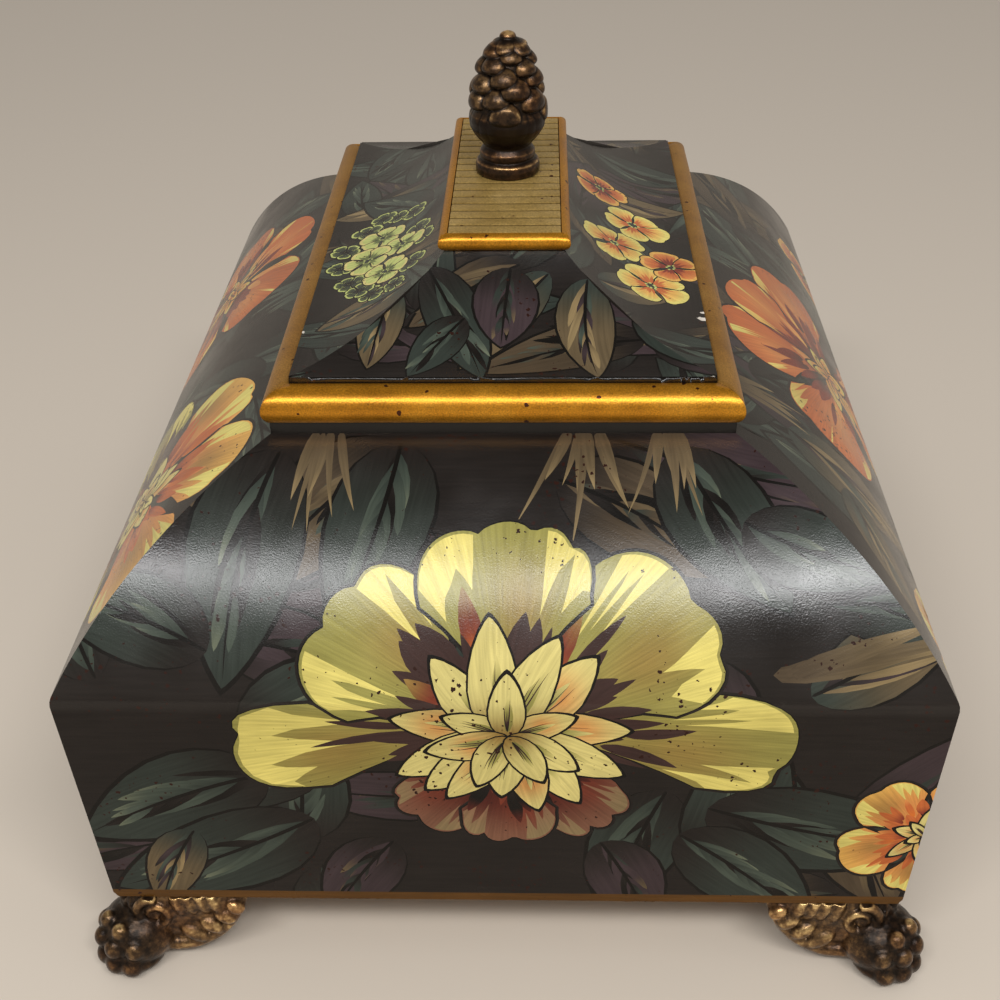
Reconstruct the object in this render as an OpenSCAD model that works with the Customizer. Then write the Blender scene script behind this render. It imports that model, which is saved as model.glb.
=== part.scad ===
// Painted keepsake casket with a lift-off coved lid, lion-paw feet and a cone finial.
// Origin: centre of the outline on the surface the feet stand on. +Z up, front at -Y, millimetres.
// Every moulded side is one profile, carried along its side and cut at 45 degrees at both ends.

/* [Body] */
// Width across the ridge, the widest line of the body
ridge_w = 260; // [230:1:320]
// Depth across the ridge
ridge_d = 330; // [270:1:420]
// Height of the ridge above the underside
ridge_h = 89; // [70:1:120]
// How far each lower wall leans in at its foot
wall_lean = 3; // [0:0.5:8]
// Thickness of the lower walls at the foot
wall_t = 12; // [9:0.5:16]
// Thickness of the bottom board
board_t = 10; // [8:0.5:14]
// Height of the feet
foot_h = 30; // [29:1:40]
// Radius that softens the ridge
ridge_soft = 6; // [3:0.5:12]
// Bevel along the foot of the walls
foot_bevel = 0.8; // [0.4:0.1:2]

/* [Shoulders] */
// Radius of the shoulder curve
shoulder_r = 120; // [90:1:200]
// Rise of the shoulder from the ridge to the neck
shoulder_rise = 53.5; // [40:0.5:70]
// Thickness of the shoulder boards
shoulder_t = 12; // [9:0.5:15]

/* [Neck] */
// Width across the outside of the neck
neck_w = 139; // [120:1:170]
// Thickness of the neck rails
neck_t = 10; // [8:0.5:13]
// Height of the neck that shows between shoulder and lid
neck_show = 4.2; // [3:0.1:8]
// How far the neck rails reach down behind the shoulder boards
neck_tail = 16; // [14:0.5:22]

/* [Lid] */
// How far the lid board's edge lies inside the neck's outer face
lid_inset = 6; // [5:0.5:7]
// Thickness of the lid board
lid_t = 8; // [8:0.5:12]
// Height of the coved boards at their outer edge
cove_edge = 3.7; // [3:0.1:6]
// Radius of the cove
cove_r = 69; // [45:1:110]
// Rise of the cove from its edge to the crown
cove_rise = 20.1; // [14:0.5:26]
// Radius of the large bead moulding
bead_r = 6; // [5:0.1:7]
// How far the bead's outermost line lies from the lid board's edge
bead_reach = 8.1; // [7.5:0.1:10]
// Height of the bead's centre above the neck
bead_lift = 3.8; // [3:0.1:5]
// Gap between the locating lip and the inside of the neck
lip_gap = 0.8; // [0.4:0.1:1.5]
// Depth of the locating lip
lip_h = 7; // [5:0.5:10]
// Thickness of the locating lip
lip_t = 6; // [4:0.5:8]

/* [Crown] */
// Width of the crown block under the plate
crown_w = 36; // [30:1:44]
// Width of the ledge that the small bead stands on
ledge_w = 1; // [0.5:0.1:2]
// Height of the small bead
small_bead_h = 5.6; // [4:0.1:7]
// How far the small bead stands out from the crown block
small_bead_reach = 2.8; // [2.8:0.1:3.5]
// Thickness of the reeded plate
plate_t = 3.2; // [2.5:0.1:4]
// Gap round the reeded plate
plate_gap = 0.2; // [0.1:0.1:0.5]
// Number of reeds on the plate
reeds = 18; // [12:1:26]
// Width of a groove between reeds
groove_w = 0.8; // [0.5:0.1:1.2]
// Depth of a groove
groove_h = 0.6; // [0.3:0.1:1]

/* [Finial] */
// Height of the finial
finial_h = 47.3; // [36:0.1:60]
// Height of the finial's turned base
turned_h = 9.5; // [7:0.1:12]
// Thickness of the foot ring
ring_t = 4.6; // [3:0.1:5]
// Thickness of the upper ring
upper_t = 3.4; // [2:0.1:3.8]
// Largest radius of the cone
cone_r = 12.4; // [10:0.1:16]
// Radius of the finial's foot ring
ring_r = 11; // [9:0.1:14]
// Radius of the waist between ring and cone
waist_r = 8.4; // [6:0.1:8.8]
// Number of scales on the cone
scales = 42; // [24:1:60]
// Width of a scale
scale_w = 8.8; // [6:0.1:11]
// Length of a scale up the cone
scale_l = 7; // [5:0.1:9]
// Height of a scale above the cone
scale_h = 2; // [0.5:0.1:2.4]
// Radius of the threaded stud
stud_r = 2.5; // [2:0.25:3]

/* [Feet] */
// Length of a wing along the wall
wing_l = 44; // [38:1:56]
// Thickness of a wing
wing_t = 7; // [5:0.5:9]
// How far the wings lie inside the wall's foot
wing_inset = 0.6; // [0.3:0.1:2]
// Radius of the paw's body
paw_r = 10.5; // [9:0.5:12]
// Number of toes
toes = 4; // [3:1:5]
// Radius of the ankle under the body's corner
ankle_r = 8; // [6:0.5:9]
// How far the ankle stands in from the corner
ankle_in = 11; // [9:0.5:14]
// Radius of a screw
screw_r = 1.5; // [1.25:0.25:2]
// Length of a screw
screw_l = 9; // [7:0.5:11]

/* [Lining] */
// Thickness of the felt lining
felt_t = 1; // [0.8:0.1:2]

/* [Hidden] */
$fn = 96;

reach = ridge_d;                            // longer than any side
half_w = ridge_w / 2;
longer = (ridge_d - ridge_w) / 2;           // every level is this much deeper than wide, each way
base_half = half_w - wall_lean;             // outer face of the lower walls at their foot
inner_half = base_half - wall_t;            // upright inner face of the lower walls
ridge_z = foot_h + ridge_h;
neck_half = neck_w / 2;
mouth_half = neck_half - neck_t;
shoulder_z = ridge_z + shoulder_rise;       // where the shoulder meets the neck
rim_z = shoulder_z + neck_show;             // top of the neck, the lid's seat

// Centre of a circle of radius r through two points, on the right of the way from a to b
function arc_centre(a, b, r) =
    let (chord = b - a, long = norm(chord), across = [chord[1], -chord[0]] / long)
    (a + b) / 2 + across * sqrt(r * r - long * long / 4);

foot_point = [base_half, foot_h];
ridge_point = [half_w, ridge_z];
neck_point = [neck_half, shoulder_z];
shoulder_c = arc_centre(neck_point, ridge_point, shoulder_r);

// The soft ridge is a circle that crosses the wall's line and the shoulder's circle from inside,
// both at a slight angle, so that no sliver is left where it would only touch them
soft_past = 0.02;                           // how far the circle stands past both
soft_deep = ridge_soft - soft_past;         // how deep its centre lies in them
wall_way = (ridge_point - foot_point) / norm(ridge_point - foot_point);
wall_out = [wall_way[1], -wall_way[0]];
from_shoulder = ridge_point - soft_deep * wall_out - shoulder_c;
down_wall = from_shoulder * wall_way;
soft_in = shoulder_r - soft_deep;
soft_back = down_wall
    - sqrt(down_wall * down_wall - from_shoulder * from_shoulder + soft_in * soft_in);
soft_c = ridge_point - soft_deep * wall_out - soft_back * wall_way;

lid_half = neck_half - lid_inset;
cove_z = rim_z + lid_t;                     // underside of the coved boards
edge_z = cove_z + cove_edge;                // top of their outer edge
crown_z = edge_z + cove_rise;               // ledge round the crown
crown_half = crown_w / 2;
plate_z = crown_z + small_bead_h - plate_t;
top_z = plate_z + plate_t;                  // top of the plate, the finial's seat
cove_c = arc_centre([lid_half, edge_z], [crown_half + ledge_w, crown_z], cove_r);
lip_half = mouth_half - lip_gap;
washer_r = 3.4 * stud_r;
washer_t = 1.2;
nut_r = 1.85 * stud_r;
nut_t = 2.2;
pocket_r = washer_r + 1;
pocket_h = washer_t + nut_t + 0.6;
stud_in = 8;                                // how far the stud goes up into the finial
fit = 0.05;                                 // round a screw or stud in its own thread
play = 0.3;                                 // round a stud or screw in a plain hole
flange_t = 2.5;

// Colours as the photograph shows them
lacquer = "#2b2a26";
gilt = "#a8741f";
pale_gilt = "#b39a55";
bronze = "#4a3a26";
felt = "#4a1f1c";
raw_wood = "#9a7b52";
steel = "#8d8d8d";

// A profile drawn as (distance from the middle, height), carried along Y and mitred.
// extra is how much longer the side is than it is far from the middle.
module mitred(extra) {
    near = 2;
    intersection() {
        rotate([90, 0, 0])
            linear_extrude(height = 2 * reach, center = true)
                children();
        linear_extrude(height = 2 * reach)
            polygon([
                [near, near + extra], [near, -near - extra],
                [reach, -reach - extra], [reach, reach + extra]
            ]);
    }
}

// Sets a profile on one of the four sides. The profile's distances are those of the long sides.
module on_side(side) {
    if (side == "right")
        mitred(longer) children();
    if (side == "left")
        mirror([1, 0, 0]) mitred(longer) children();
    if (side == "back")
        translate([0, longer, 0]) rotate([0, 0, 90]) mitred(0) children();
    if (side == "front")
        translate([0, -longer, 0]) rotate([0, 0, -90]) mitred(0) children();
}

// A flat slab of the body's plan, half wide
module slab(half, low, high) {
    translate([-half, -half - longer, low])
        cube([2 * half, 2 * (half + longer), high - low]);
}

// Body

// The outside of wall and shoulder beyond the soft ridge, which is cut away
module ridge_corner() {
    difference() {
        polygon([soft_c, soft_c + 2 * ridge_soft * wall_out, soft_c + 2 * (soft_c - shoulder_c)
            / norm(soft_c - shoulder_c) * ridge_soft]);
        translate(soft_c) circle(ridge_soft);
    }
}

module wall(side) {
    color(lacquer) on_side(side)
        difference() {
            polygon([
                [inner_half, foot_h], [base_half - foot_bevel, foot_h],
                foot_point + foot_bevel * wall_way, ridge_point, [inner_half, ridge_z]
            ]);
            ridge_corner();
        }
}

module shoulder(side) {
    color(lacquer) on_side(side)
        difference() {
            intersection() {
                translate(shoulder_c) difference() {
                    circle(shoulder_r);
                    circle(shoulder_r - shoulder_t);
                }
                translate([neck_half, ridge_z])
                    square([reach, reach]);
            }
            ridge_corner();
        }
}

module neck(side) {
    color(lacquer) on_side(side)
        translate([mouth_half, shoulder_z - neck_tail])
            square([neck_t, neck_tail + neck_show]);
}

// Places of the screws in one foot, from the body's corner
screw_in = wall_t + 4;
screw_far = wing_l - 8;
screw_mid = ankle_in + ankle_r + 2;
screw_spots = [[screw_mid, screw_mid], [screw_far, screw_in], [screw_in, screw_far]];

// Repeats its children, drawn for the corner at +X +Y, at all four corners
module at_corners() {
    for (x = [0, 1], y = [0, 1])
        mirror([x, 0, 0]) mirror([0, y, 0]) at_corner() children();
}

// The body's lower corner at +X +Y, on the floor
module at_corner() {
    translate([base_half, base_half + longer, 0]) children();
}

module bottom_board() {
    color(raw_wood) difference() {
        slab(inner_half, foot_h, foot_h + board_t);
        at_corners() for (spot = screw_spots)
            translate([-spot[0], -spot[1], foot_h - 1])
                cylinder(h = screw_l - flange_t + 1.5, r = screw_r + fit);
    }
}

module floor_lining() {
    color(felt) slab(inner_half, foot_h + board_t, foot_h + board_t + felt_t);
}

module wall_lining() {
    low = foot_h + board_t + felt_t;
    color(felt) difference() {
        slab(inner_half, low, ridge_z);
        slab(inner_half - felt_t, low - 1, ridge_z + 1);
    }
}

// Feet

// Lobes of a wing's leaf edge: distance from the corner, depth under the body, radius
function lobe(i) = [
    wing_l * (0.48 + 0.13 * i),
    foot_h * (0.61 - 0.14 * i),
    foot_h * (0.18 - 0.017 * i)
];
lobes = 4;
volute_r = foot_h * 0.25;
volute_at = [wing_l * 0.28, volute_r + 0.8];

module wing_outline() {
    polygon([
        [4, 0], [wing_l - 3, 0], [lobe(3)[0], -lobe(3)[1]], [lobe(2)[0], -lobe(2)[1]],
        [lobe(1)[0], -lobe(1)[1]], [lobe(0)[0], -foot_h * 0.74], [4, -foot_h * 0.7]
    ]);
    for (i = [0 : lobes - 1])
        translate([lobe(i)[0], -lobe(i)[1]]) circle(lobe(i)[2]);
}

// One wing, along -X from the corner, its face towards +Y
module wing() {
    translate([0, -wing_inset, foot_h]) {
        rotate([90, 0, 0]) mirror([1, 0, 0])
            linear_extrude(height = wing_t) wing_outline();
        for (i = [0 : lobes - 1])
            translate([-lobe(i)[0], -lobe(i)[2] * 0.75, -lobe(i)[1]]) sphere(lobe(i)[2]);
        translate([-volute_at[0], 0, -volute_at[1]]) rotate([-90, 0, 0]) {
            translate([0, 0, -1]) difference() {
                cylinder(h = 1.9, r = volute_r);
                translate([0, 0, 1.2]) cylinder(h = 1, r = volute_r * 0.72);
            }
            cylinder(h = 1, r = volute_r * 0.4);
        }
    }
}

// The paw points outwards along the diagonal, its heel under the corner
module paw() {
    heel = 3;
    toe_span = 30;
    translate([-heel, -heel, 0]) {
        translate([0, 0, paw_r * 0.95]) sphere(paw_r);
        for (i = [0 : toes - 1])
            rotate([0, 0, 45 + (i - (toes - 1) / 2) * toe_span]) {
                translate([paw_r * 0.72, 0, paw_r * 1.2]) sphere(paw_r * 0.46);
                translate([paw_r * 0.92, 0, paw_r * 0.36]) sphere(paw_r * 0.42);
            }
    }
    translate([-ankle_in, -ankle_in, paw_r]) cylinder(h = foot_h - paw_r, r = ankle_r);
}

module flange() {
    edge = wing_inset;
    mid = screw_mid + 5;
    far = screw_far + 5;
    side = screw_in + 4;
    translate([0, 0, foot_h - flange_t])
        linear_extrude(height = flange_t)
            polygon([
                [-edge, -edge], [-far, -edge], [-far, -side],
                [-mid, -mid], [-side, -far], [-edge, -far]
            ]);
}

module screw_hole() {
    translate([0, 0, foot_h - flange_t - 1]) cylinder(h = flange_t + 2, r = screw_r + play);
    translate([0, 0, foot_h - flange_t - 0.01])
        cylinder(h = screw_r, r1 = 2 * screw_r + play, r2 = screw_r + play);
}

module foot(x, y) {
    color(bronze) mirror([x, 0, 0]) mirror([0, y, 0]) at_corner() difference() {
        union() {
            wing();
            mirror([1, -1, 0]) wing();
            paw();
            flange();
        }
        for (spot = screw_spots)
            translate([-spot[0], -spot[1], 0]) screw_hole();
        translate([-2 * wing_l, -2 * wing_l, -foot_h]) cube([4 * wing_l, 4 * wing_l, foot_h]);
        translate([-2 * wing_l, -2 * wing_l, foot_h]) cube([4 * wing_l, 4 * wing_l, foot_h]);
    }
}

module foot_screws() {
    color(steel) at_corners() for (spot = screw_spots)
        translate([-spot[0], -spot[1], foot_h - flange_t]) {
            cylinder(h = screw_r, r1 = 2 * screw_r, r2 = screw_r);
            cylinder(h = screw_l, r = screw_r);
        }
}

// Lid

module stud_hole(low, high) {
    translate([0, 0, low - 1]) cylinder(h = high - low + 2, r = stud_r + play);
}

module lid_board() {
    color(raw_wood) difference() {
        slab(lid_half, rim_z, cove_z);
        stud_hole(rim_z, cove_z);
        translate([0, 0, rim_z - 1]) cylinder(h = pocket_h + 1, r = pocket_r);
    }
}

module cove(side) {
    color(lacquer) on_side(side)
        difference() {
            polygon([
                [crown_half, cove_z], [lid_half, cove_z], [lid_half, edge_z],
                [crown_half + ledge_w, crown_z], [crown_half, crown_z]
            ]);
            translate(cove_c) circle(cove_r);
        }
}

module bead(side) {
    middle = lid_half + bead_reach - bead_r;
    color(gilt) on_side(side)
        intersection() {
            union() {
                translate([middle, rim_z + bead_lift]) circle(bead_r);
                translate([lid_half, rim_z])
                    square([middle - lid_half, bead_lift + bead_r]);
            }
            translate([lid_half, rim_z]) square([reach, reach]);
        }
}

module lip(side) {
    chamfer = 1.5;
    color(raw_wood) on_side(side)
        polygon([
            [lip_half - lip_t, rim_z - lip_h], [lip_half - chamfer, rim_z - lip_h],
            [lip_half, rim_z - lip_h + chamfer], [lip_half, rim_z], [lip_half - lip_t, rim_z]
        ]);
}

module crown_block() {
    color(lacquer) difference() {
        slab(crown_half, cove_z, plate_z);
        stud_hole(cove_z, plate_z);
    }
}

module crown_bead(side) {
    color(gilt) on_side(side)
        intersection() {
            translate([crown_half + small_bead_reach - small_bead_h / 2, crown_z + small_bead_h / 2])
                circle(small_bead_h / 2);
            translate([crown_half, crown_z]) square([reach, small_bead_h]);
        }
}

module reeded_plate() {
    half = crown_half - plate_gap;
    pitch = 2 * (half + longer) / reeds;
    color(pale_gilt) difference() {
        slab(half, plate_z, top_z);
        for (i = [1 : reeds - 1])
            translate([-half - 1, -half - longer + i * pitch - groove_w / 2, top_z - groove_h])
                cube([2 * half + 2, groove_w, 2 * groove_h]);
        stud_hole(plate_z, top_z);
    }
}

module lid_lining() {
    color(felt) slab(lip_half - lip_t, rim_z - felt_t, rim_z);
}

// Finial

cone_low = turned_h;                        // top of the turned base
cone_mid = finial_h * 0.49;                 // where the cone is widest
throat_r = waist_r - 0.3;                   // the cone springs from just inside the waist's top
golden_angle = 180 * (3 - sqrt(5));

function cone_core(h) = h < cone_mid
    ? throat_r + (cone_r - throat_r) * pow(sin(90 * (h - cone_low) / (cone_mid - cone_low)), 1.5)
    : cone_r * sqrt(max(0, 1 - pow((h - cone_mid) / (finial_h - scale_h - cone_mid), 2)));

// Scale i sits a golden angle round from the last and a little higher
scale_low = cone_low + 0.7 * scale_l;
scale_spots = [for (i = [0 : scales - 1])
    let (up = scale_low + (finial_h - scale_h - scale_low) * (1 - pow(1 - i / scales, 1.15)))
    [i * golden_angle, up]];

function turn_gap(a, b) = let (d = abs((a - b) % 360)) min(d, 360 - d);

// Height of the nearest scale's dome at angle a and height h
function scale_rise(a, h, r) = scale_h * max([for (spot = scale_spots)
    let (side = turn_gap(a, spot[0]) * PI / 90 * max(r, 2) / scale_w, up = 2 * (h - spot[1]) / scale_l)
    max(0, 1 - side * side - up * up)]);

module cone() {
    around = 48;
    rows = 30;
    heights = [for (j = [0 : rows - 1]) cone_low + (finial_h - scale_h - cone_low) * sin(90 * j / rows)];
    rims = [for (h = heights) [for (i = [0 : around - 1])
        let (a = 360 * i / around, core = cone_core(h))
        let (r = core + (h > cone_low ? scale_rise(a, h, core) : 0))
        [r * cos(a), r * sin(a), h]]];
    flat = [for (rim = rims) each rim];
    base_tip = len(flat);
    points = concat(flat, [[0, 0, cone_low], [0, 0, finial_h]]);
    sides = [for (j = [0 : rows - 2], i = [0 : around - 1])
        let (n = (i + 1) % around, low = j * around, high = low + around)
        each [[low + i, high + i, high + n], [low + i, high + n, low + n]]];
    last = (rows - 1) * around;
    ends = [for (i = [0 : around - 1])
        let (n = (i + 1) % around)
        each [[base_tip, i, n], [last + i, base_tip + 1, last + n]]];
    polyhedron(points = points, faces = concat(sides, ends));
}

// Turned base: a foot ring, a smaller ring and the waist
module finial_base() {
    upper_r = ring_r - upper_t / 2;
    rotate_extrude() difference() {
        union() {
            square([ring_r - ring_t / 2, ring_t]);
            translate([ring_r - ring_t / 2, ring_t / 2]) circle(ring_t / 2);
            translate([0, ring_t]) square([upper_r - upper_t / 2, upper_t]);
            translate([upper_r - upper_t / 2, ring_t + upper_t / 2]) circle(upper_t / 2);
            square([waist_r, cone_low]);
        }
        translate([-2 * ring_r, -1]) square([2 * ring_r, 2 * cone_low]);
        square([stud_r + fit, stud_in]);
    }
}

module finial() {
    color(bronze) translate([0, 0, top_z]) {
        finial_base();
        cone();
    }
}

module finial_stud() {
    low = rim_z + pocket_h - washer_t - nut_t - 0.4;
    color(steel) translate([0, 0, low]) cylinder(h = top_z + stud_in - low, r = stud_r);
}

module finial_washer() {
    color(steel) translate([0, 0, rim_z + pocket_h - washer_t]) difference() {
        cylinder(h = washer_t, r = washer_r);
        translate([0, 0, -1]) cylinder(h = washer_t + 2, r = stud_r + play);
    }
}

module finial_nut() {
    color(steel) translate([0, 0, rim_z + pocket_h - washer_t - nut_t]) difference() {
        cylinder(h = nut_t, r = nut_r, $fn = 6);
        translate([0, 0, -1]) cylinder(h = nut_t + 2, r = stud_r + fit);
    }
}

bottom_board();
wall("front");  // wall_front
wall("back");  // wall_back
wall("left");  // wall_left
wall("right");  // wall_right
shoulder("front");  // shoulder_front
shoulder("back");  // shoulder_back
shoulder("left");  // shoulder_left
shoulder("right");  // shoulder_right
neck("front");  // neck_front
neck("back");  // neck_back
neck("left");  // neck_left
neck("right");  // neck_right
foot(1, 1);  // foot_front_left
foot(0, 1);  // foot_front_right
foot(1, 0);  // foot_back_left
foot(0, 0);  // foot_back_right
foot_screws();
floor_lining();
wall_lining();
lid_board();
cove("front");  // cove_front
cove("back");  // cove_back
cove("left");  // cove_left
cove("right");  // cove_right
bead("front");  // bead_front
bead("back");  // bead_back
bead("left");  // bead_left
bead("right");  // bead_right
lip("front");  // lip_front
lip("back");  // lip_back
lip("left");  // lip_left
lip("right");  // lip_right
crown_block();
crown_bead("front");  // crown_bead_front
crown_bead("back");  // crown_bead_back
crown_bead("left");  // crown_bead_left
crown_bead("right");  // crown_bead_right
reeded_plate();
finial();
finial_stud();
finial_washer();
finial_nut();
lid_lining();
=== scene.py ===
# Painted keepsake casket with a coved lift-off lid, cast paw feet and a cone finial.
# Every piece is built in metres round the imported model, which is loaded as a fixed frame.
import math
from functools import partial

import bpy
import numpy as np
from mathutils import Matrix, Vector
from mathutils.geometry import delaunay_2d_cdt


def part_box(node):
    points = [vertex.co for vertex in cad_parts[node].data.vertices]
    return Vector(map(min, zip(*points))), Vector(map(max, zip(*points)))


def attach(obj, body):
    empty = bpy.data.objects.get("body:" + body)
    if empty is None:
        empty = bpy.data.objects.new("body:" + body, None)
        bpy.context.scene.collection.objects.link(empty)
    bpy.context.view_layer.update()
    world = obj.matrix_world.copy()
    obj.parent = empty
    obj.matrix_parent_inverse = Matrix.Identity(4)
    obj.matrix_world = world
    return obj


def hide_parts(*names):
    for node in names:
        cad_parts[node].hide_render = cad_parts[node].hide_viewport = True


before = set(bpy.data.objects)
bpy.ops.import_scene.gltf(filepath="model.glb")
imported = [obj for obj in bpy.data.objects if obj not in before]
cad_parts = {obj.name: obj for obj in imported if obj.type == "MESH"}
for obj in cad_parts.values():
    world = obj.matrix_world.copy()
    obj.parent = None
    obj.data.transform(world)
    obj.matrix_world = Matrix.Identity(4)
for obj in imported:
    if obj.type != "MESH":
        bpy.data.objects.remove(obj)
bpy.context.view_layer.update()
mm = 0.001
print("frame loaded:", len(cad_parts), "nodes")

# Sizes read from the frame, in millimetres


def boxOf(node):
    return [np.array(corner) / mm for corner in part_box(node)]


boardBox = boxOf("bottom_board")
shoulderBox = boxOf("shoulder_front")
neckBox = boxOf("neck_right")
coveBox = boxOf("cove_right")
beadBox = boxOf("bead_right")
plateBox = boxOf("reeded_plate")
smallBeadBox = boxOf("crown_bead_right")
finialBox = boxOf("finial")
footBox = boxOf("foot_back_right")

body = {
    "wallT": 12,
    "lean": 3,  # the walls lean out by this much from foot to ridge
    "longer": boardBox[1][1] - boardBox[1][0],  # deeper than wide, each way
    "baseZ": boxOf("wall_front")[0][2],
    "ridgeZ": shoulderBox[0][2],
    "neck": neckBox[1][0],
    "neckTopZ": neckBox[1][2],
    "shoulderZ": shoulderBox[1][2],
    "shoulderR": 120,
    "shoulderT": 12,
    "softRidge": 6,  # radius that softens the ridge
    "bevel": 0.8,  # cut under the foot of the walls
}
body["base"] = boardBox[1][0] + body["wallT"]  # half width at the foot of the walls
body["ridge"] = body["base"] + body["lean"]  # half width at the ridge
sides = ("front", "right", "back", "left")
sideTurn = {"front": 0, "right": 90, "back": 180, "left": 270}


def toLinear(hexColour):  # sRGB hex to linear red, green, blue
    values = np.array([int(hexColour[i:i + 2], 16) for i in (1, 3, 5)]) / 255
    return np.where(values <= 0.04045, values / 12.92, ((values + 0.055) / 1.055) ** 2.4)


def withAlpha(hexColour):
    return (*toLinear(hexColour), 1.0)


def addNode(tree, kind, settings=None, links=None):  # one node with its settings and links
    node = tree.nodes.new("ShaderNode" + kind)
    for key, value in (settings or {}).items():
        value = withAlpha(value) if str(value).startswith("#") else value
        if key == "stops":
            ramp = node.color_ramp
            while len(ramp.elements) < len(value):
                ramp.elements.new(0.5)
            for element, (place, colour) in zip(ramp.elements, value):
                element.position, element.color = place, withAlpha(colour)
        elif key == "range":  # from low and high, then to low and high
            for number, limit in enumerate(value, 1):
                node.inputs[number].default_value = limit
        elif isinstance(key, str) and hasattr(node, key):
            setattr(node, key, value)
        else:
            node.inputs[key].default_value = value
    for key, source in (links or {}).items():  # a node stands for its first output
        tree.links.new(source.outputs[0] if isinstance(source, bpy.types.Node) else source, node.inputs[key])
    return node


def emptyTree(owner):  # adds nodes to the owner's own tree
    owner.use_nodes = True
    owner.node_tree.nodes.clear()
    return partial(addNode, owner.node_tree)


def newMaterial(name):
    material = bpy.data.materials.new(name)
    return material, emptyTree(material)


def putMaterial(piece, material):
    piece.data.materials.clear()
    piece.data.materials.append(material)


def newObject(name, data):
    made = bpy.data.objects.new(name, data)
    bpy.context.scene.collection.objects.link(made)
    return made


def onCircle(angle, radius=1.0):  # x and y at an angle and a radius
    return np.stack([radius * np.cos(angle), radius * np.sin(angle)], -1)


def readAll(things, field, width=3, kind=float):  # a field of all vertices or edges as one array
    values = np.zeros(len(things) * width, kind)
    things.foreach_get(field, values)
    return values.reshape(-1, width)


def addLayer(piece, name, values, kind="FLOAT", domain="POINT", field="value"):
    layer = piece.data.attributes.new(name, kind, domain)
    layer.data.foreach_set(field, np.asarray(values, np.float32).ravel())


# Camera at the photograph's place: the picture is 1000 by 1000 pixels
camera = {
    "place": (0.0118, -0.4524, 0.3890),
    "lens": 49.35,
    "sensor": 36.0,
    "yaw": -0.037,
    "pitch": 0.605,
    "roll": -0.020,
}


def aimCamera():
    yaw, pitch, roll = camera["yaw"], camera["pitch"], camera["roll"]
    ahead = Vector((math.sin(yaw) * math.cos(pitch), math.cos(yaw) * math.cos(pitch), -math.sin(pitch)))
    right = Vector((math.cos(yaw), -math.sin(yaw), 0))
    up = right.cross(ahead)
    turnedRight = math.cos(roll) * right + math.sin(roll) * up
    turnedUp = -math.sin(roll) * right + math.cos(roll) * up
    data = bpy.data.cameras.new("camera")
    data.lens, data.sensor_width = camera["lens"], camera["sensor"]
    data.clip_start, data.clip_end = 0.01, 20
    lookout = newObject("camera", data)
    turn = Matrix((turnedRight, turnedUp, -ahead)).transposed()
    lookout.matrix_world = Matrix.Translation(camera["place"]) @ turn.to_4x4()
    bpy.context.scene.camera = lookout


aimCamera()

# Profiles of the body and the lid, as distance from the middle and height, in millimetres


def arcCentre(a, b, radius):  # centre of a circle through two points, right of the way from a to b
    chord = b - a
    long = np.linalg.norm(chord)
    across = np.array([chord[1], -chord[0]]) / long
    return (a + b) / 2 + across * math.sqrt(radius ** 2 - long ** 2 / 4)


ridgePoint = np.array([body["ridge"], body["ridgeZ"]])
neckPoint = np.array([body["neck"], body["shoulderZ"]])
basePoint = np.array([body["base"], body["baseZ"]])
shoulderCentre = arcCentre(neckPoint, ridgePoint, body["shoulderR"])

# The soft ridge is a small circle that touches the wall's line and the shoulder's circle from inside
wallWay = (ridgePoint - basePoint) / np.linalg.norm(ridgePoint - basePoint)
wallOut = np.array([wallWay[1], -wallWay[0]])
offRidge = ridgePoint - body["softRidge"] * wallOut - shoulderCentre
along = offRidge @ wallWay
innerR = body["shoulderR"] - body["softRidge"]
cutBack = along - math.sqrt(along ** 2 - offRidge @ offRidge + innerR ** 2)
ridgeCentre = ridgePoint - body["softRidge"] * wallOut - cutBack * wallWay
wallAngle = math.atan2(wallOut[1], wallOut[0])
meetAngle = math.atan2(*(ridgeCentre - shoulderCentre)[::-1])
neckAngle = math.atan2(*(neckPoint - shoulderCentre)[::-1])
wallLength = np.linalg.norm(ridgePoint - basePoint) - cutBack
bendLength = body["softRidge"] * (meetAngle - wallAngle)
ridgeLine = wallLength + bendLength / 2  # how far up the outside the ridge lies
sideLength = wallLength + bendLength + body["shoulderR"] * (neckAngle - meetAngle)


def bodyProfile(t):
    # Up the outside by t: the wall's line with its bevelled foot, the ridge's small arc, the shoulder's arc
    bend = wallAngle + np.clip(t - wallLength, 0, bendLength) / body["softRidge"]
    sweep = meetAngle + np.clip(t - wallLength - bendLength, 0, None) / body["shoulderR"]
    onWall, onBend = t < wallLength, t < wallLength + bendLength
    angle = np.where(onBend, bend, sweep)
    out = onCircle(angle)
    line = basePoint + np.minimum(t, wallLength)[..., None] * wallWay
    line = line - np.clip(body["bevel"] - t, 0, None)[..., None] * np.array([1, 0])
    arc = np.where(onBend[..., None], ridgeCentre + body["softRidge"] * out,
                   shoulderCentre + body["shoulderR"] * out)
    return np.where(onWall[..., None], line, arc), out


def bodyInside(t):
    # Behind the outside at t: the wall's upright inner face, then the shoulder's inner arc
    share = np.clip(t / ridgeLine, 0, 1)
    wall = np.stack([np.full_like(t, body["base"] - body["wallT"]),
                     body["baseZ"] + share * (body["ridgeZ"] - body["baseZ"])], -1)
    radius = body["shoulderR"] - body["shoulderT"]
    low = math.asin((body["ridgeZ"] - shoulderCentre[1]) / radius)
    high = math.acos((body["neck"] - shoulderCentre[0]) / radius)
    angle = low + np.clip((t - ridgeLine) / (sideLength - ridgeLine), 0, 1) * (high - low)
    arc = shoulderCentre + onCircle(angle, radius)
    return np.where((t < ridgeLine)[..., None], wall, arc)


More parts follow.
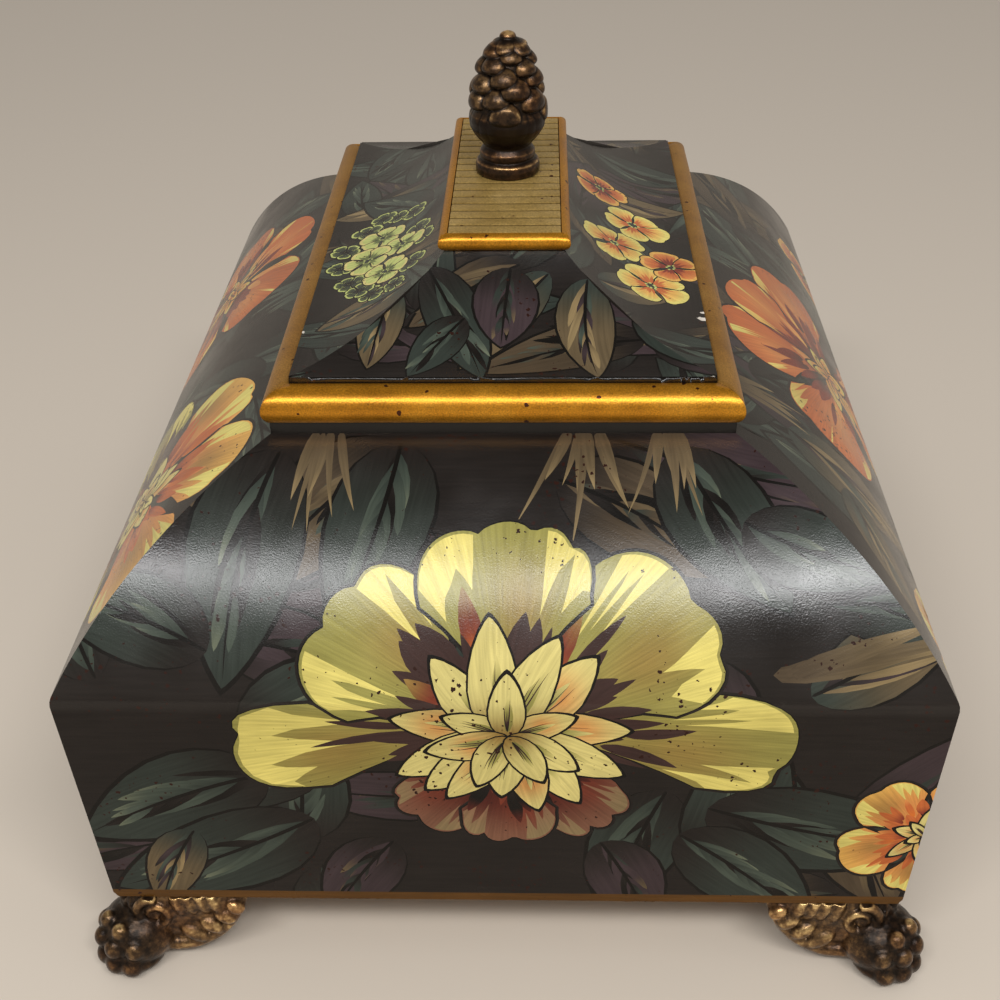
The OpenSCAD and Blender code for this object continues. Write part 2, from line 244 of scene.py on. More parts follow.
lid = {
    "half": coveBox[1][0],
    "low": coveBox[0][2],
    "edge": 3.7,  # height of the black edge step
    "coveR": 69,
    "crown": smallBeadBox[0][0],  # half width of the crown
    "ledge": 1,
    "crownZ": coveBox[1][2],
}
edgePoint = np.array([lid["half"], lid["low"] + lid["edge"]])
crownPoint = np.array([lid["crown"] + lid["ledge"], lid["crownZ"]])
coveCentre = arcCentre(edgePoint, crownPoint, lid["coveR"])
coveStart = math.atan2(*(edgePoint - coveCentre)[::-1])
coveEnd = math.atan2(*(crownPoint - coveCentre)[::-1])
coveLine = lid["edge"]  # how far up the outside the painted cove begins
coveLength = coveLine + lid["coveR"] * (coveStart - coveEnd) + lid["ledge"]


def lidProfile(t):
    # Up the outside by t: the upright edge step, then the hollow arc, then the flat ledge
    angle = coveStart - np.clip(t - coveLine, 0, lid["coveR"] * (coveStart - coveEnd)) / lid["coveR"]
    ledge = np.clip(t - coveLength + lid["ledge"], 0, lid["ledge"])
    arc = coveCentre + onCircle(angle, lid["coveR"])
    arc = arc - ledge[..., None] * np.array([1, 0])
    onEdge = (t < coveLine)[..., None]
    step = np.stack([np.full_like(t, lid["half"]), lid["low"] + np.minimum(t, coveLine)], -1)
    out = np.where(onEdge, np.array([1.0, 0.0]), -onCircle(angle))
    out = np.where((ledge > 0)[..., None], np.array([0.0, 1.0]), out)
    return np.where(onEdge, step, arc), out


def lidInside(t):
    # Under the cove the board is solid: along its underside, then up its inner end
    share = np.clip(t / coveLength, 0, 1)
    under = lid["half"] - 1 - (lid["half"] - 1 - lid["crown"]) * np.minimum(share / 0.7, 1)
    up = lid["low"] + (lid["crownZ"] - 1 - lid["low"]) * np.clip((share - 0.7) / 0.3, 0, 1)
    return np.stack([under, up], -1)


def extraOf(side):  # how much further the side's ends lie than its distance from the middle
    return body["longer"] if side in ("left", "right") else 0.0


def onSide(side, s, distance, height):
    # A point s to the right along a side seen from outside, at a distance from the middle
    away = distance + body["longer"] - extraOf(side)
    turn = math.radians(sideTurn[side])
    x = s * math.cos(turn) + away * math.sin(turn)
    y = s * math.sin(turn) - away * math.cos(turn)
    return np.stack([x, y, height], -1)


# A painting is a list of shapes on the unrolled side: s runs along it, t up it, in millimetres

paint = {
    "ground": "#201b18",
    "ink": "#120f0c",
    "leafDark": "#2e342e",
    "leaf": "#424a40",
    "leafLight": "#616653",
    "plum": "#3b2f31",
    "bark": "#4b3e2e",
    "tan": "#86724f",
    "tanDark": "#5f5039",
    "yellow": "#d6c66c",
    "olive": "#938c48",
    "oliveDark": "#767039",
    "ochre": "#8f7139",
    "umber": "#3c2925",
    "cream": "#cfc077",
    "orange": "#c4682a",
    "red": "#4c1f17",
    "redLight": "#743423",
    "rose": "#7b5440",
    "coral": "#ba6232",
    "coralDark": "#7c3022",
    "salmon": "#d28a4a",
    "apricot": "#d9a552",
    "lime": "#b9bf6e",
    "limeDark": "#636c3c",
    "band": "#573813",
    "gesso": "#d9cfc2",
}
inks = {name: toLinear(value) for name, value in paint.items()}


def turned(points, turn):
    c, s = math.cos(turn), math.sin(turn)
    return points @ np.array([[c, s], [-s, c]])


def addShape(shapes, root, turn, outline, colours, bend=0.0, size=None, polar=False, blush=None):
    # outline is drawn along x from the root; bend lifts it by bend * x * x / size.
    # blush is a soft patch: its colour, its place and its reach in shares of the size, and its strength
    size = size or np.abs(outline[:, 0]).max()
    bent = outline.copy()
    bent[:, 1] += bend * bent[:, 0] ** 2 / size
    following = np.roll(bent, -1, 0)
    if (bent[:, 0] * following[:, 1] - bent[:, 1] * following[:, 0]).sum() < 0:
        bent = bent[::-1]  # anticlockwise, as the cutting needs
    shapes.append({
        "points": turned(bent, turn) + np.array(root),
        "root": np.array(root, float),
        "turn": turn,
        "size": size,
        "bend": bend,
        "polar": polar,
        "colours": [inks[name] for name in colours],
        "blush": blush or ("ground", 0.5, 0.0, 1.0, 0.0),
    })


def strokeOutline(length, wide, belly=0.35, sharp=1.5, steps=8):
    # Half width at share u of the length: u to the power p times 1 - u to the power q, widest at belly
    u = (1 - np.cos(np.linspace(0, math.pi, steps + 1))) / 2
    p, q = sharp * belly, sharp * (1 - belly)
    h = u ** p * (1 - u) ** q / (belly ** p * (1 - belly) ** q) * wide
    up = np.stack([u * length, h], -1)
    return np.concatenate([up, up[-2:0:-1] * [1, -1]])


def addStroke(shapes, root, turn, length, wide, colours, bend=0.0, belly=0.35, sharp=1.5, steps=8):
    addShape(shapes, root, turn, strokeOutline(length, wide, belly, sharp, steps), colours, bend, length)


def onSpine(root, turn, length, bend, u):  # place and heading at share u of a bent spine
    x = u * length
    y = bend * x * x / length
    c, s = math.cos(turn), math.sin(turn)
    return np.array([root[0] + c * x - s * y, root[1] + s * x + c * y]), turn + math.atan(2 * bend * u)


leafTones = {
    "green": (("ground", "leafDark", "leafDark"), ("leafDark", "leaf", "leafLight"),
              ("leafDark", "leaf", "leaf"), ("ground", "ink", "ground")),
    "tan": (("leafDark", "tanDark", "tanDark"), ("tanDark", "tan", "tan"),
            ("leafDark", "leaf", "leafDark"), ("ground", "plum", "ground")),
    "plum": (("ground", "plum", "plum"), ("plum", "plum", "tanDark"),
             ("ground", "leafDark", "plum"), ("ground", "ink", "ink")),
    "bark": (("ground", "bark", "bark"), ("bark", "tanDark", "bark"),
             ("leafDark", "bark", "leaf"), ("ground", "ink", "ink")),
}


def leafBlade(shapes, rng, root, turn, length, wide, bend=0.15, tone="green", strokes=7):
    # A pointed blade, then long pointed strokes that leave its midrib towards the tip, and the rib
    turn = math.radians(turn)
    tones = leafTones[tone]
    addStroke(shapes, root, turn, length * 1.03, wide * 1.08, ("ink",) * 3, bend, 0.40, 1.45, 12)
    addStroke(shapes, root, turn, length, wide, tones[0], bend, 0.40, 1.45, 12)
    for i in range(strokes):
        for hand in (-1, 1):
            u = 0.02 + 0.62 * (i + 0.5 * (hand > 0) + rng.uniform(-0.2, 0.2)) / strokes
            spot, heading = onSpine(root, turn, length, bend, max(u, 0.01))
            reach = length * (0.56 - 0.34 * u) * rng.uniform(0.6, 1.1)
            lean = hand * math.radians(rng.uniform(7, 17) * (1 + 0.3 * (1 - u)))
            look = tones[1 + int(rng.choice(3, p=(0.45, 0.3, 0.25)))]
            addStroke(shapes, spot, heading + lean, reach, wide * rng.uniform(0.07, 0.16), look,
                      -hand * 0.12, 0.5, 1.6, 6)
    addStroke(shapes, root, turn, length * 0.97, wide * 0.03 + 0.25, ("ink",) * 3, bend, 0.2, 0.9, 12)


def fanRim(petal, a):
    # Radius of a petal's rim at angle a: rounded off to both sides by the fourth power of the share
    # across, and raised by lobes of uneven width
    across = a / petal["spread"]
    uneven = petal["lobes"] * math.pi / 2 * (across + 1 + 0.2 * np.sin(2.4 * across + petal["warp"]))
    waves = np.abs(np.sin(uneven + 0.4 * petal["warp"])) ** 0.6
    lobed = 1 - petal["depth"] + petal["depth"] * waves
    return petal["length"] * (1 - petal["round"] * across ** 4) * lobed


def fanOutline(petal, grow=0.0):
    # From the root out along one side, round the rim, and back along the other; grow widens it all round
    a = np.linspace(-petal["spread"], petal["spread"], 9 * petal["lobes"] + 1)
    rim = fanRim(petal, a)
    r = np.linspace(0.06, 0.94, 7)
    side = petal["spread"] * (petal["waist"] + (1 - petal["waist"]) * r ** 0.9)
    low = np.stack([r * rim[0], -side], -1)
    high = np.stack([r * rim[-1], side], -1)[::-1]
    polar = np.concatenate([low, np.stack([rim, a], -1), high])
    points = onCircle(polar[:, 1], polar[:, 0])
    if grow:
        edge = np.roll(points, -1, 0) - np.roll(points, 1, 0)
        edge /= np.maximum(np.linalg.norm(edge, axis=1, keepdims=True), 1e-9)
        points = points + grow * np.stack([edge[:, 1], -edge[:, 0]], -1)
    return points


def combPatch(petal, a0, a1, inner, teeth, rng):
    # A pale patch: its outer edge follows the rim, its inner edge runs in as pointed teeth
    a = np.linspace(a0, a1, 9)
    outer = np.stack([fanRim(petal, a) * 0.985, a], -1)
    back = []
    edges = np.linspace(a1, a0, teeth + 1)
    for i in range(teeth):
        left, right = edges[i], edges[i + 1]
        tip = left + (right - left) * rng.uniform(0.3, 0.7)
        rim = float(fanRim(petal, tip))
        deep = rim * (1 - (1 - inner) * rng.uniform(0.45, 1.0))
        gap = rim * rng.uniform(0.84, 0.94)
        bow = rng.uniform(0.45, 0.9)
        back += [(gap + (deep - gap) * q, left + (tip - left) * q ** bow) for q in (0.3, 0.65)]
        back += [(deep, tip)]
        back += [(gap + (deep - gap) * q, right + (tip - right) * q ** (1.35 - bow)) for q in (0.65, 0.3)]
        if i < teeth - 1:
            back.append((gap, right))
    polar = np.concatenate([outer, np.array(back)])
    return onCircle(polar[:, 1], polar[:, 0])


# Colours from root to tip of a petal's body, its pale patches, its root strokes and its flames, and its blush
petalTones = {
    "yellow": ("ochre olive olive", "yellow yellow yellow", "umber umber umber",
               "orange redLight ochre", "ochre"),
    "coral": ("coralDark coral coral", "apricot apricot yellow", "red coralDark coralDark",
              "apricot salmon salmon", "salmon"),
    "apricot": ("coral salmon apricot", "apricot yellow yellow", "coralDark coral coral",
                "orange coral salmon", "ochre"),
    "red": ("ground red rose", "redLight rose tan", "ground ink red", "ground redLight redLight", "redLight"),
}


def fanPetal(shapes, rng, root, turn, length, spread, lobes, tone, depth=0.06, patches=2):
    # A dark halo and line, the body, pale comb patches at the rim, dark and flame strokes from the root
    turn = math.radians(turn)
    petal = {"length": length, "spread": math.radians(spread), "lobes": lobes, "depth": depth,
             "round": 0.26, "waist": 0.30, "warp": rng.uniform(0, 3)}
    wide = petal["spread"]
    whole, pale, dark, flame, glow = (colours.split() for colours in petalTones[tone])
    for grow, ink in ((1.1, "ground"), (0.45, "ink")):
        addShape(shapes, root, turn, fanOutline(petal, grow), (ink,) * 3, 0, length, True)
    blush = (glow[0], rng.uniform(0.55, 0.7), wide * rng.uniform(-0.4, 0.4), 0.24, 0.75)
    addShape(shapes, root, turn, fanOutline(petal), whole, 0, length, True, blush)
    places = np.linspace(-1, 1, patches + 1)
    for i in range(patches):
        a0 = wide * (places[i] + (0.02 if i == 0 else 0.24) + 0.14 * rng.random())
        a1 = wide * (places[i + 1] - (0.02 if i == patches - 1 else 0.22) - 0.3 * rng.random())
        patch = combPatch(petal, a0, a1, rng.uniform(0.38, 0.68), int(rng.integers(2, 4)), rng)
        addShape(shapes, root, turn, patch, pale, 0, length, True)
    count = int(4 + wide * 8)
    for i in range(count):
        a = wide * (-0.9 + 1.8 * (i + rng.uniform(0.2, 0.8)) / count)
        spot = np.array(root) + turned(np.array([[length * rng.uniform(0.12, 0.4), 0.0]]), turn + a)[0]
        look = flame if rng.random() < 0.28 else dark
        addStroke(shapes, spot, turn + a * 1.05, length * rng.uniform(0.24, 0.42),
                  length * wide * rng.uniform(0.05, 0.12), look, rng.uniform(-0.14, 0.14), 0.42, 1.5, 7)


creamTone = ("ochre", "cream", "cream")
coralTone = ("coral", "apricot", "yellow")
fullRings = ((8, 1.0), (6, 0.7), (3, 0.4))  # petals and share of the length, ring by ring


def pointedPetal(shapes, rng, root, turn, length, wide, tone=creamTone, chance=0.5):
    # A pointed almond petal: dark line, body with a soft blush, a shaded side and fine veins
    turn = math.radians(turn)
    bend = rng.uniform(-0.2, 0.2)
    line = 0.6
    back = np.array(root) - turned(np.array([[line, 0.0]]), turn)[0]
    addStroke(shapes, back, turn, length + 3.4 * line, wide + line, ("ink",) * 3, bend, 0.44, 1.35, 10)
    glow = ("orange", rng.uniform(0.45, 0.65), 0.0, 0.2, 0.7 if rng.random() < chance else 0.0)
    addShape(shapes, root, turn, strokeOutline(length, wide, 0.44, 1.35, 10), tone, bend, length, False, glow)
    spot, heading = onSpine(root, turn, length, bend, 0.1)
    hand = 1 if rng.random() < 0.5 else -1
    addStroke(shapes, spot, heading + hand * 0.14, length * 0.62, wide * 0.26,
              ("oliveDark", "olive", tone[1]), bend - hand * 0.12, 0.4, 1.4, 6)
    for lean in (-0.14, 0.0, 0.15):
        addStroke(shapes, spot, heading + lean, length * rng.uniform(0.35, 0.66), 0.24,
                  ("ink", "umber", "umber"), bend - lean * 0.5, 0.3, 1.2, 6)


def starCluster(shapes, rng, centre, size, layers=fullRings, tone=creamTone):
    # Rings of pointed petals of uneven length, each ring shorter than the one below
    for count, share in layers:
        start = rng.uniform(0, 360)
        for i in range(count):
            turn = start + 360 * i / count + rng.uniform(-14, 14)
            pointedPetal(shapes, rng, centre, turn, size * share * rng.uniform(0.78, 1.15),
                         size * share * rng.uniform(0.19, 0.26), tone)


def smallFlower(shapes, rng, centre, size, tone, petals=5, eye=True):
    # Five round petals with pale rims, streaks to the middle, and an eye with pale dots
    look = {
        "gold": (("coral", "apricot", "yellow"), ("coral", "coral", "salmon"), "yellow"),
        "coral": (("coralDark", "coral", "salmon"), ("coralDark", "coralDark", "coral"), "apricot"),
        "lime": (("limeDark", "lime", "lime"), ("limeDark", "limeDark", "lime"), "cream"),
        "dusk": (("ground", "leafDark", "limeDark"), ("ground", "leafDark", "limeDark"), "lime"),
    }[tone]
    start = rng.uniform(0, 360)
    for i in range(petals):
        turn = math.radians(start + 360 * i / petals + rng.uniform(-7, 7))
        length = size * rng.uniform(0.86, 1.12)
        petal = {"length": length, "spread": math.radians(180 / petals * 1.02), "lobes": 2, "depth": 0.06,
                 "round": 0.2, "waist": 0.5, "warp": rng.uniform(0, 3)}
        addShape(shapes, centre, turn, fanOutline(petal, 0.5), ("ink",) * 3, 0, length, True)
        addShape(shapes, centre, turn, fanOutline(petal), (look[2],) * 3, 0, length, True)
        petal["length"], petal["spread"] = length * 0.88, petal["spread"] * 0.86
        addShape(shapes, centre, turn, fanOutline(petal), look[0], 0, length, True)
        for k in range(4):
            a = petal["spread"] * (-0.66 + 0.44 * k + rng.uniform(-0.08, 0.08))
            spot = np.array(centre) + turned(np.array([[length * 0.16, 0.0]]), turn + a)[0]
            addStroke(shapes, spot, turn + a, length * rng.uniform(0.3, 0.56), length * 0.045, look[1],
                      0, 0.4, 1.4, 5)
    if eye:
        ring = np.linspace(0, 2 * math.pi, 13)[:-1]
        dot = onCircle(ring)
        addShape(shapes, centre, 0.0, dot * size * 0.15, ("leafDark",) * 3, 0, size)
        for k in range(7):
            a = 2 * math.pi * (k + rng.uniform(0, 0.5)) / 7
            spot = np.array(centre) + size * rng.uniform(0.1, 0.2) * np.array([math.cos(a), math.sin(a)])
            addShape(shapes, spot, 0.0, dot[::2] * size * 0.045, ("lime",) * 3, 0, size)


def grassTuft(shapes, rng, root, turn, length, count, tone, fan=34):
    # Long tapered strokes that hang or rise side by side from one root
    look = {"tan": ("bark", "tanDark", "tan"), "green": ("leafDark", "leaf", "leafLight"),
            "plum": ("plum", "plum", "tanDark")}[tone]
    for i in range(count):
        lean = fan * ((i + 0.5) / count - 0.5) + rng.uniform(-4, 4)
        addStroke(shapes, (root[0] + lean * 0.3, root[1]), math.radians(turn + lean),
                  length * rng.uniform(0.5, 1.1), length * rng.uniform(0.025, 0.06), look,
                  rng.uniform(-0.16, 0.16), 0.25, 1.3, 7)


def darkFoliage(shapes, rng, halfLow, halfHigh, low, high, count, step=30):
    # Overlapping dark blades over the whole ground, so that no large part of it is bare
    for i in range(count):
        t = rng.uniform(low, high)
        half = halfLow + (halfHigh - halfLow) * (t - low) / (high - low)
        s = rng.uniform(-half, half)
        tone = ("green", "green", "bark", "plum")[int(rng.integers(4))]
        leafBlade(shapes, rng, (s, t), rng.uniform(0, 360), rng.uniform(1.3, 2.2) * step,
                  rng.uniform(0.3, 0.48) * step, rng.uniform(-0.25, 0.25), tone, 7)


def each(draw, shapes, rng, *rows):  # draws once for each row of settings
    for row in rows:
        draw(shapes, rng, *row)


def paintFront(rng):
    shapes = []
    darkFoliage(shapes, rng, 125, 75, 5, sideLength, 26, 34)
    each(leafBlade, shapes, rng,
        ((-66, 165), 250, 72, 17, 0.16, "green"), ((-30, 168), 262, 60, 15, -0.14, "green"),
        ((-96, 142), 212, 60, 15, 0.2, "plum"), ((52, 166), 292, 58, 15, 0.16, "green"),
        ((88, 92), 24, 58, 11, 0.18, "tan"), ((92, 118), 4, 46, 11, -0.16, "green"),
        ((-70, 60), 196, 66, 17, 0.16, "green"), ((-58, 40), 214, 74, 17, -0.12, "green"),
        ((62, 46), 338, 76, 18, 0.14, "green"), ((54, 34), 322, 62, 15, -0.1, "green"),
        ((-96, 34), 238, 40, 9, 0.15, "tan"), ((-34, 30), 232, 44, 12, 0.12, "plum"),
        ((30, 30), 300, 44, 12, -0.12, "plum"), ((-116, 96), 118, 46, 11, -0.2, "green"),
        ((-84, 104), 150, 52, 13, 0.16, "green"), ((70, 142), 330, 44, 12, 0.15, "green"))
    each(grassTuft, shapes, rng, ((24, 172), 266, 36, 9, "tan", 34), ((50, 172), 276, 30, 7, "tan", 28),
         ((-52, 172), 262, 32, 6, "tan", 24), ((80, 98), 12, 62, 7, "tan", 22))
    for turn in (60, 132, 204, 276, 348):
        fanPetal(shapes, rng, (129, 34), turn, 27, 35, 2, "apricot", 0.06, 2)
    starCluster(shapes, rng, (129, 34), 12, ((6, 1.0), (4, 0.6)))
    centre = np.array([2.0, 80.0])
    for turn, length, spread, lobes in ((226, 42, 26, 3), (314, 44, 26, 3), (270, 40, 30, 3)):
        fanPetal(shapes, rng, centre - [0, 10], turn, length, spread, lobes, "red", 0.08, 2)
    for turn, length, spread, lobes, patches in (
        (188, 82, 17, 2, 1), (354, 84, 18, 2, 2), (146, 64, 31, 3, 2), (36, 68, 30, 3, 2), (91, 62, 33, 4, 2),
    ):
        fanPetal(shapes, rng, centre, turn, length, spread, lobes, "yellow", 0.055, patches)
    for turn, length in ((168, 34), (12, 35), (138, 33), (44, 36), (108, 37), (74, 34)):
        pointedPetal(shapes, rng, centre - [0, 3], turn, length, length * 0.2, chance=0.8)
    for turn, length in ((198, 36), (340, 37), (222, 33), (318, 34), (246, 31), (292, 32)):
        pointedPetal(shapes, rng, centre - [0, 4], turn, length, length * 0.2, chance=0.2)
    for turn, length in ((150, 20), (28, 21), (92, 22), (206, 24),
                         (332, 24), (268, 25), (236, 22), (304, 21)):
        pointedPetal(shapes, rng, centre - [0, 4], turn, length, length * 0.24, chance=0.3)
    return shapes


def paintBack(rng):
    shapes = []
    darkFoliage(shapes, rng, 125, 75, 5, sideLength, 30, 34)
    each(leafBlade, shapes, rng,
        ((-60, 160), 240, 64, 16, 0.16, "green"), ((50, 164), 300, 60, 15, -0.14, "green"),
        ((-40, 60), 186, 74, 17, 0.14, "green"), ((66, 70), 350, 62, 16, 0.16, "tan"),
        ((-20, 40), 215, 60, 15, -0.12, "plum"), ((20, 30), 325, 60, 15, 0.12, "green"),
        ((0, 150), 262, 40, 12, 0.1, "green"), ((90, 40), 20, 40, 10, 0.2, "green"))
    grassTuft(shapes, rng, (-16, 171), 270, 26, 6, "tan", 26)
    centre = np.array([-28.0, 92.0])
    for turn in (200, 250, 300):
        fanPetal(shapes, rng, centre, turn, 50, 27, 2, "red", 0.06, 2)
    for turn, length in ((8, 58), (80, 50), (152, 55), (222, 50), (308, 52)):
        fanPetal(shapes, rng, centre, turn, length, 34, 3, "apricot", 0.06, 2)
    starCluster(shapes, rng, centre, 22)
    each(smallFlower, shapes, rng, ((66, 112), 15, "gold"), ((84, 92), 14, "coral"), ((58, 88), 13, "gold"))
    return shapes


def paintRight(rng):
    shapes = []
    darkFoliage(shapes, rng, 160, 100, 5, sideLength, 40, 34)
    each(leafBlade, shapes, rng,
        ((-120, 100), 60, 64, 15, 0.16, "green"), ((-86, 150), 250, 60, 15, 0.16, "tan"),
        ((-60, 160), 290, 58, 15, -0.16, "green"), ((70, 150), 250, 64, 16, 0.14, "green"),
        ((110, 120), 210, 60, 15, 0.14, "green"), ((-40, 60), 210, 78, 17, 0.12, "green"),
        ((40, 50), 330, 80, 18, -0.12, "green"), ((0, 40), 262, 40, 12, 0.1, "plum"),
        ((120, 60), 350, 44, 12, 0.2, "tan"), ((-108, 60), 232, 56, 14, -0.15, "green"),
        ((-100, 128), 200, 50, 10, 0.15, "tan"))
    grassTuft(shapes, rng, (-70, 171), 262, 34, 6, "tan", 24)
    grassTuft(shapes, rng, (30, 171), 270, 30, 6, "green", 28)
    centre = np.array([-12.0, 112.0])
    for turn, length, spread in ((236, 52, 30), (304, 50, 30), (168, 64, 27),
                                 (18, 62, 27), (112, 56, 27), (66, 52, 26)):
        fanPetal(shapes, rng, centre, turn, length, spread, 2, "coral", 0.05, 3)
    starCluster(shapes, rng, centre, 18, ((6, 1.0), (4, 0.6)), coralTone)
    centre = np.array([-132.0, 70.0])
    for turn in (10, 82, 154, 226, 298):
        fanPetal(shapes, rng, centre, turn, 31, 35, 2, "apricot", 0.06, 2)
    starCluster(shapes, rng, centre, 11, ((5, 1.0), (4, 0.6)))
    each(smallFlower, shapes, rng, ((100, 96), 19, "coral"), ((126, 70), 16, "gold"), ((86, 66), 15, "gold"))
    return shapes


def paintLeft(rng):
    shapes = []
    darkFoliage(shapes, rng, 160, 100, 5, sideLength, 40, 34)
    each(leafBlade, shapes, rng,
        ((120, 100), 120, 60, 15, 0.16, "green"), ((90, 150), 280, 60, 15, 0.16, "green"),
        ((60, 160), 250, 58, 15, -0.16, "green"), ((-70, 150), 290, 64, 16, 0.14, "green"),
        ((-110, 120), 330, 60, 15, 0.14, "tan"), ((40, 60), 330, 78, 17, 0.12, "green"),
        ((-40, 50), 210, 80, 18, -0.12, "green"), ((0, 40), 262, 40, 12, 0.1, "plum"),
        ((-120, 60), 190, 44, 12, 0.2, "green"), ((108, 50), 310, 56, 14, -0.15, "tan"))
    grassTuft(shapes, rng, (0, 171), 268, 34, 7, "green", 30)
    centre = np.array([92.0, 112.0])
    for turn, length, spread in ((250, 50, 30), (310, 52, 28), (14, 60, 27),
                                 (190, 58, 28), (130, 54, 28), (74, 52, 28)):
        fanPetal(shapes, rng, centre, turn, length, spread, 2, "yellow" if turn > 180 else "apricot", 0.05, 2)
    starCluster(shapes, rng, centre, 19)
    centre = np.array([-52.0, 116.0])
    for turn, length in ((40, 52), (112, 46), (184, 50), (256, 46), (328, 50)):
        fanPetal(shapes, rng, centre, turn, length, 33, 2, "coral", 0.05, 3)
    starCluster(shapes, rng, centre, 16, ((6, 1.0), (4, 0.6)), coralTone)
    each(smallFlower, shapes, rng, ((20, 60), 16, "lime"), ((-4, 78), 14, "lime"), ((-110, 70), 18, "gold"))
    return shapes


# Chips at the lid's edge down to the pale ground coat: place along and up, half width and half height
nicks = {
    "front": ((-61, 3.6, 2.2, 0.5), (62, 3.5, 1.2, 0.6)),
    "right": ((-62, 4.6, 1.7, 2.6), (-57.5, 3.9, 0.9, 1.5)),
    "back": ((20, 3.7, 1.6, 0.5),),
    "left": ((70, 4.0, 1.2, 0.8),),
}


def paintCove(side):
    def painter(rng):
        shapes = []
        half = lid["half"] + extraOf(side)
        darkFoliage(shapes, rng, half, half * 0.6, coveLine, coveLength, 16 if extraOf(side) == 0 else 26, 24)
        if side in ("front", "back"):
            each(leafBlade, shapes, rng,
                ((14, 46), 226, 46, 8, 0.16, "tan"), ((-24, 48), 300, 48, 9, -0.14, "green"),
                ((26, 44), 262, 40, 9, 0.2, "tan"), ((-34, 42), 250, 34, 7, 0.16, "tan"),
                ((2, 48), 262, 30, 10, 0.05, "plum"), ((44, 38), 292, 34, 9, 0.16, "green"),
                ((-50, 30), 216, 30, 8, -0.16, "green"), ((-12, 30), 230, 30, 7, 0.14, "green"))
        else:
            hand = 1 if side == "right" else -1
            each(leafBlade, shapes, rng,
                ((-78 * hand, 30), 250, 40, 9, 0.16, "green"), ((-56 * hand, 40), 285, 34, 9, 0.16, "tan"),
                ((60 * hand, 40), 250, 44, 11, 0.16, "green"), ((84 * hand, 30), 320, 34, 9, 0.16, "green"),
                ((20 * hand, 44), 262, 40, 9, 0.2, "tan"), ((0, 40), 210, 40, 10, 0.2, "green"))
            if side == "right":
                each(smallFlower, shapes, rng,
                    ((-44, 20), 12.5, "gold"), ((-20, 32), 11.5, "gold"), ((-26, 12), 10.5, "coral"),
                    ((2, 24), 12.5, "gold"), ((24, 36), 11, "coral"))
            else:
                for i in range(13):
                    a = i * 2 * math.pi / 13 + rng.uniform(-0.12, 0.12)
                    r = rng.uniform(0.9, 1.15)
                    spot = (22 + 29 * r * math.cos(a), 26 + 14.5 * r * math.sin(a))
                    smallFlower(shapes, rng, spot, rng.uniform(4.2, 5.8), "dusk", 5, False)
                for spot, size in (((8, 24), 8.6), ((21, 33), 8.2), ((24, 20), 9.2), ((38, 28), 8.4)):
                    smallFlower(shapes, rng, spot, size, "lime")
        for s, t, wide, tall in nicks[side]:
            a = np.sort(rng.uniform(0, 2 * math.pi, 9))
            chip = np.stack([wide * np.cos(a), tall * np.sin(a)], -1) * rng.uniform(0.6, 1.0, (9, 1))
            addShape(shapes, (s, t), 0.0, chip, ("gesso",) * 3, 0, 4)
        return shapes
    return painter


joinNear = 1e-4  # outlines' points closer than this are made one


def signedArea(points, triangles):  # twice each area, below zero where the corners run clockwise
    a, b, c = (points[triangles[:, i]] for i in range(3))
    return (b[:, 0] - a[:, 0]) * (c[:, 1] - a[:, 1]) - (b[:, 1] - a[:, 1]) * (c[:, 0] - a[:, 0])


def layPaint(shapes, halfAt, low, high, lines, step, rng):
    # Cuts the unrolled side along every outline, and says for each triangle which shape lies on top.
    # A triangle lies in a shape if a line from its middle crosses the outline an odd number of times.
    ts = np.linspace(low, high, int((high - low) / step) + 1)
    rows = [np.linspace(-halfAt(t), halfAt(t), int(2 * halfAt(t) / step) + 1) for t in (low, high)]
    rim = [(s, low) for s in rows[0]] + [(halfAt(t), t) for t in ts[1:-1]]
    rim += [(s, high) for s in rows[1][::-1]] + [(-halfAt(t), t) for t in ts[-2:0:-1]]
    loops = [np.array(rim)] + [shape["points"] for shape in shapes]
    spots, edges, start = [], [], 0
    for loop in loops:
        spots += [Vector(p) for p in loop]
        edges += [(start + i, start + (i + 1) % len(loop)) for i in range(len(loop))]
        start += len(loop)
    for t in lines:
        edges.append((len(spots), len(spots) + 1))
        spots += [Vector((-halfAt(t), t)), Vector((halfAt(t), t))]
    grid = np.stack(np.meshgrid(np.arange(-halfAt(low), halfAt(low), step), ts[1:-1]), -1).reshape(-1, 2)
    grid = grid + rng.uniform(-0.2, 0.2, grid.shape) * step
    inside = np.abs(grid[:, 0]) < np.array([halfAt(t) for t in grid[:, 1]]) - step * 0.6
    spots += [Vector(p) for p in grid[inside]]
    made = delaunay_2d_cdt(spots, edges, [], 0, joinNear, False)
    points = np.array([tuple(p) for p in made[0]])
    triangles = np.array(made[2])
    area = signedArea(points, triangles)
    triangles[area < 0] = triangles[area < 0][:, ::-1]
    middles = points[triangles].mean(1)
    order = np.argsort(middles[:, 0])
    triangles, middles = triangles[order], middles[order]
    top = np.full(len(triangles), -2)
    for number, loop in enumerate(loops):
        first, last = np.searchsorted(middles[:, 0], (loop[:, 0].min(), loop[:, 0].max()))
        height = middles[first:last, 1]
        near = first + np.flatnonzero((height > loop[:, 1].min()) & (height < loop[:, 1].max()))
        x, y = middles[near, 0][:, None], middles[near, 1][:, None]
        x0, y0 = loop[:, 0], loop[:, 1]
        x1, y1 = np.roll(x0, -1), np.roll(y0, -1)
        spans = (y0 > y) != (y1 > y)
        with np.errstate(divide="ignore", invalid="ignore"):
            crossing = spans & (x < (x1 - x0) * (y - y0) / (y1 - y0) + x0)
        hit = near[crossing.sum(1) % 2 == 1]
        top[hit[top[hit] > -2] if number else hit] = number - 1
    keep = top > -2
    return points, triangles[keep], top[keep]


def smooth(low, high, value):
    x = np.clip((value - low) / (high - low), 0, 1)
    return x * x * (3 - 2 * x)


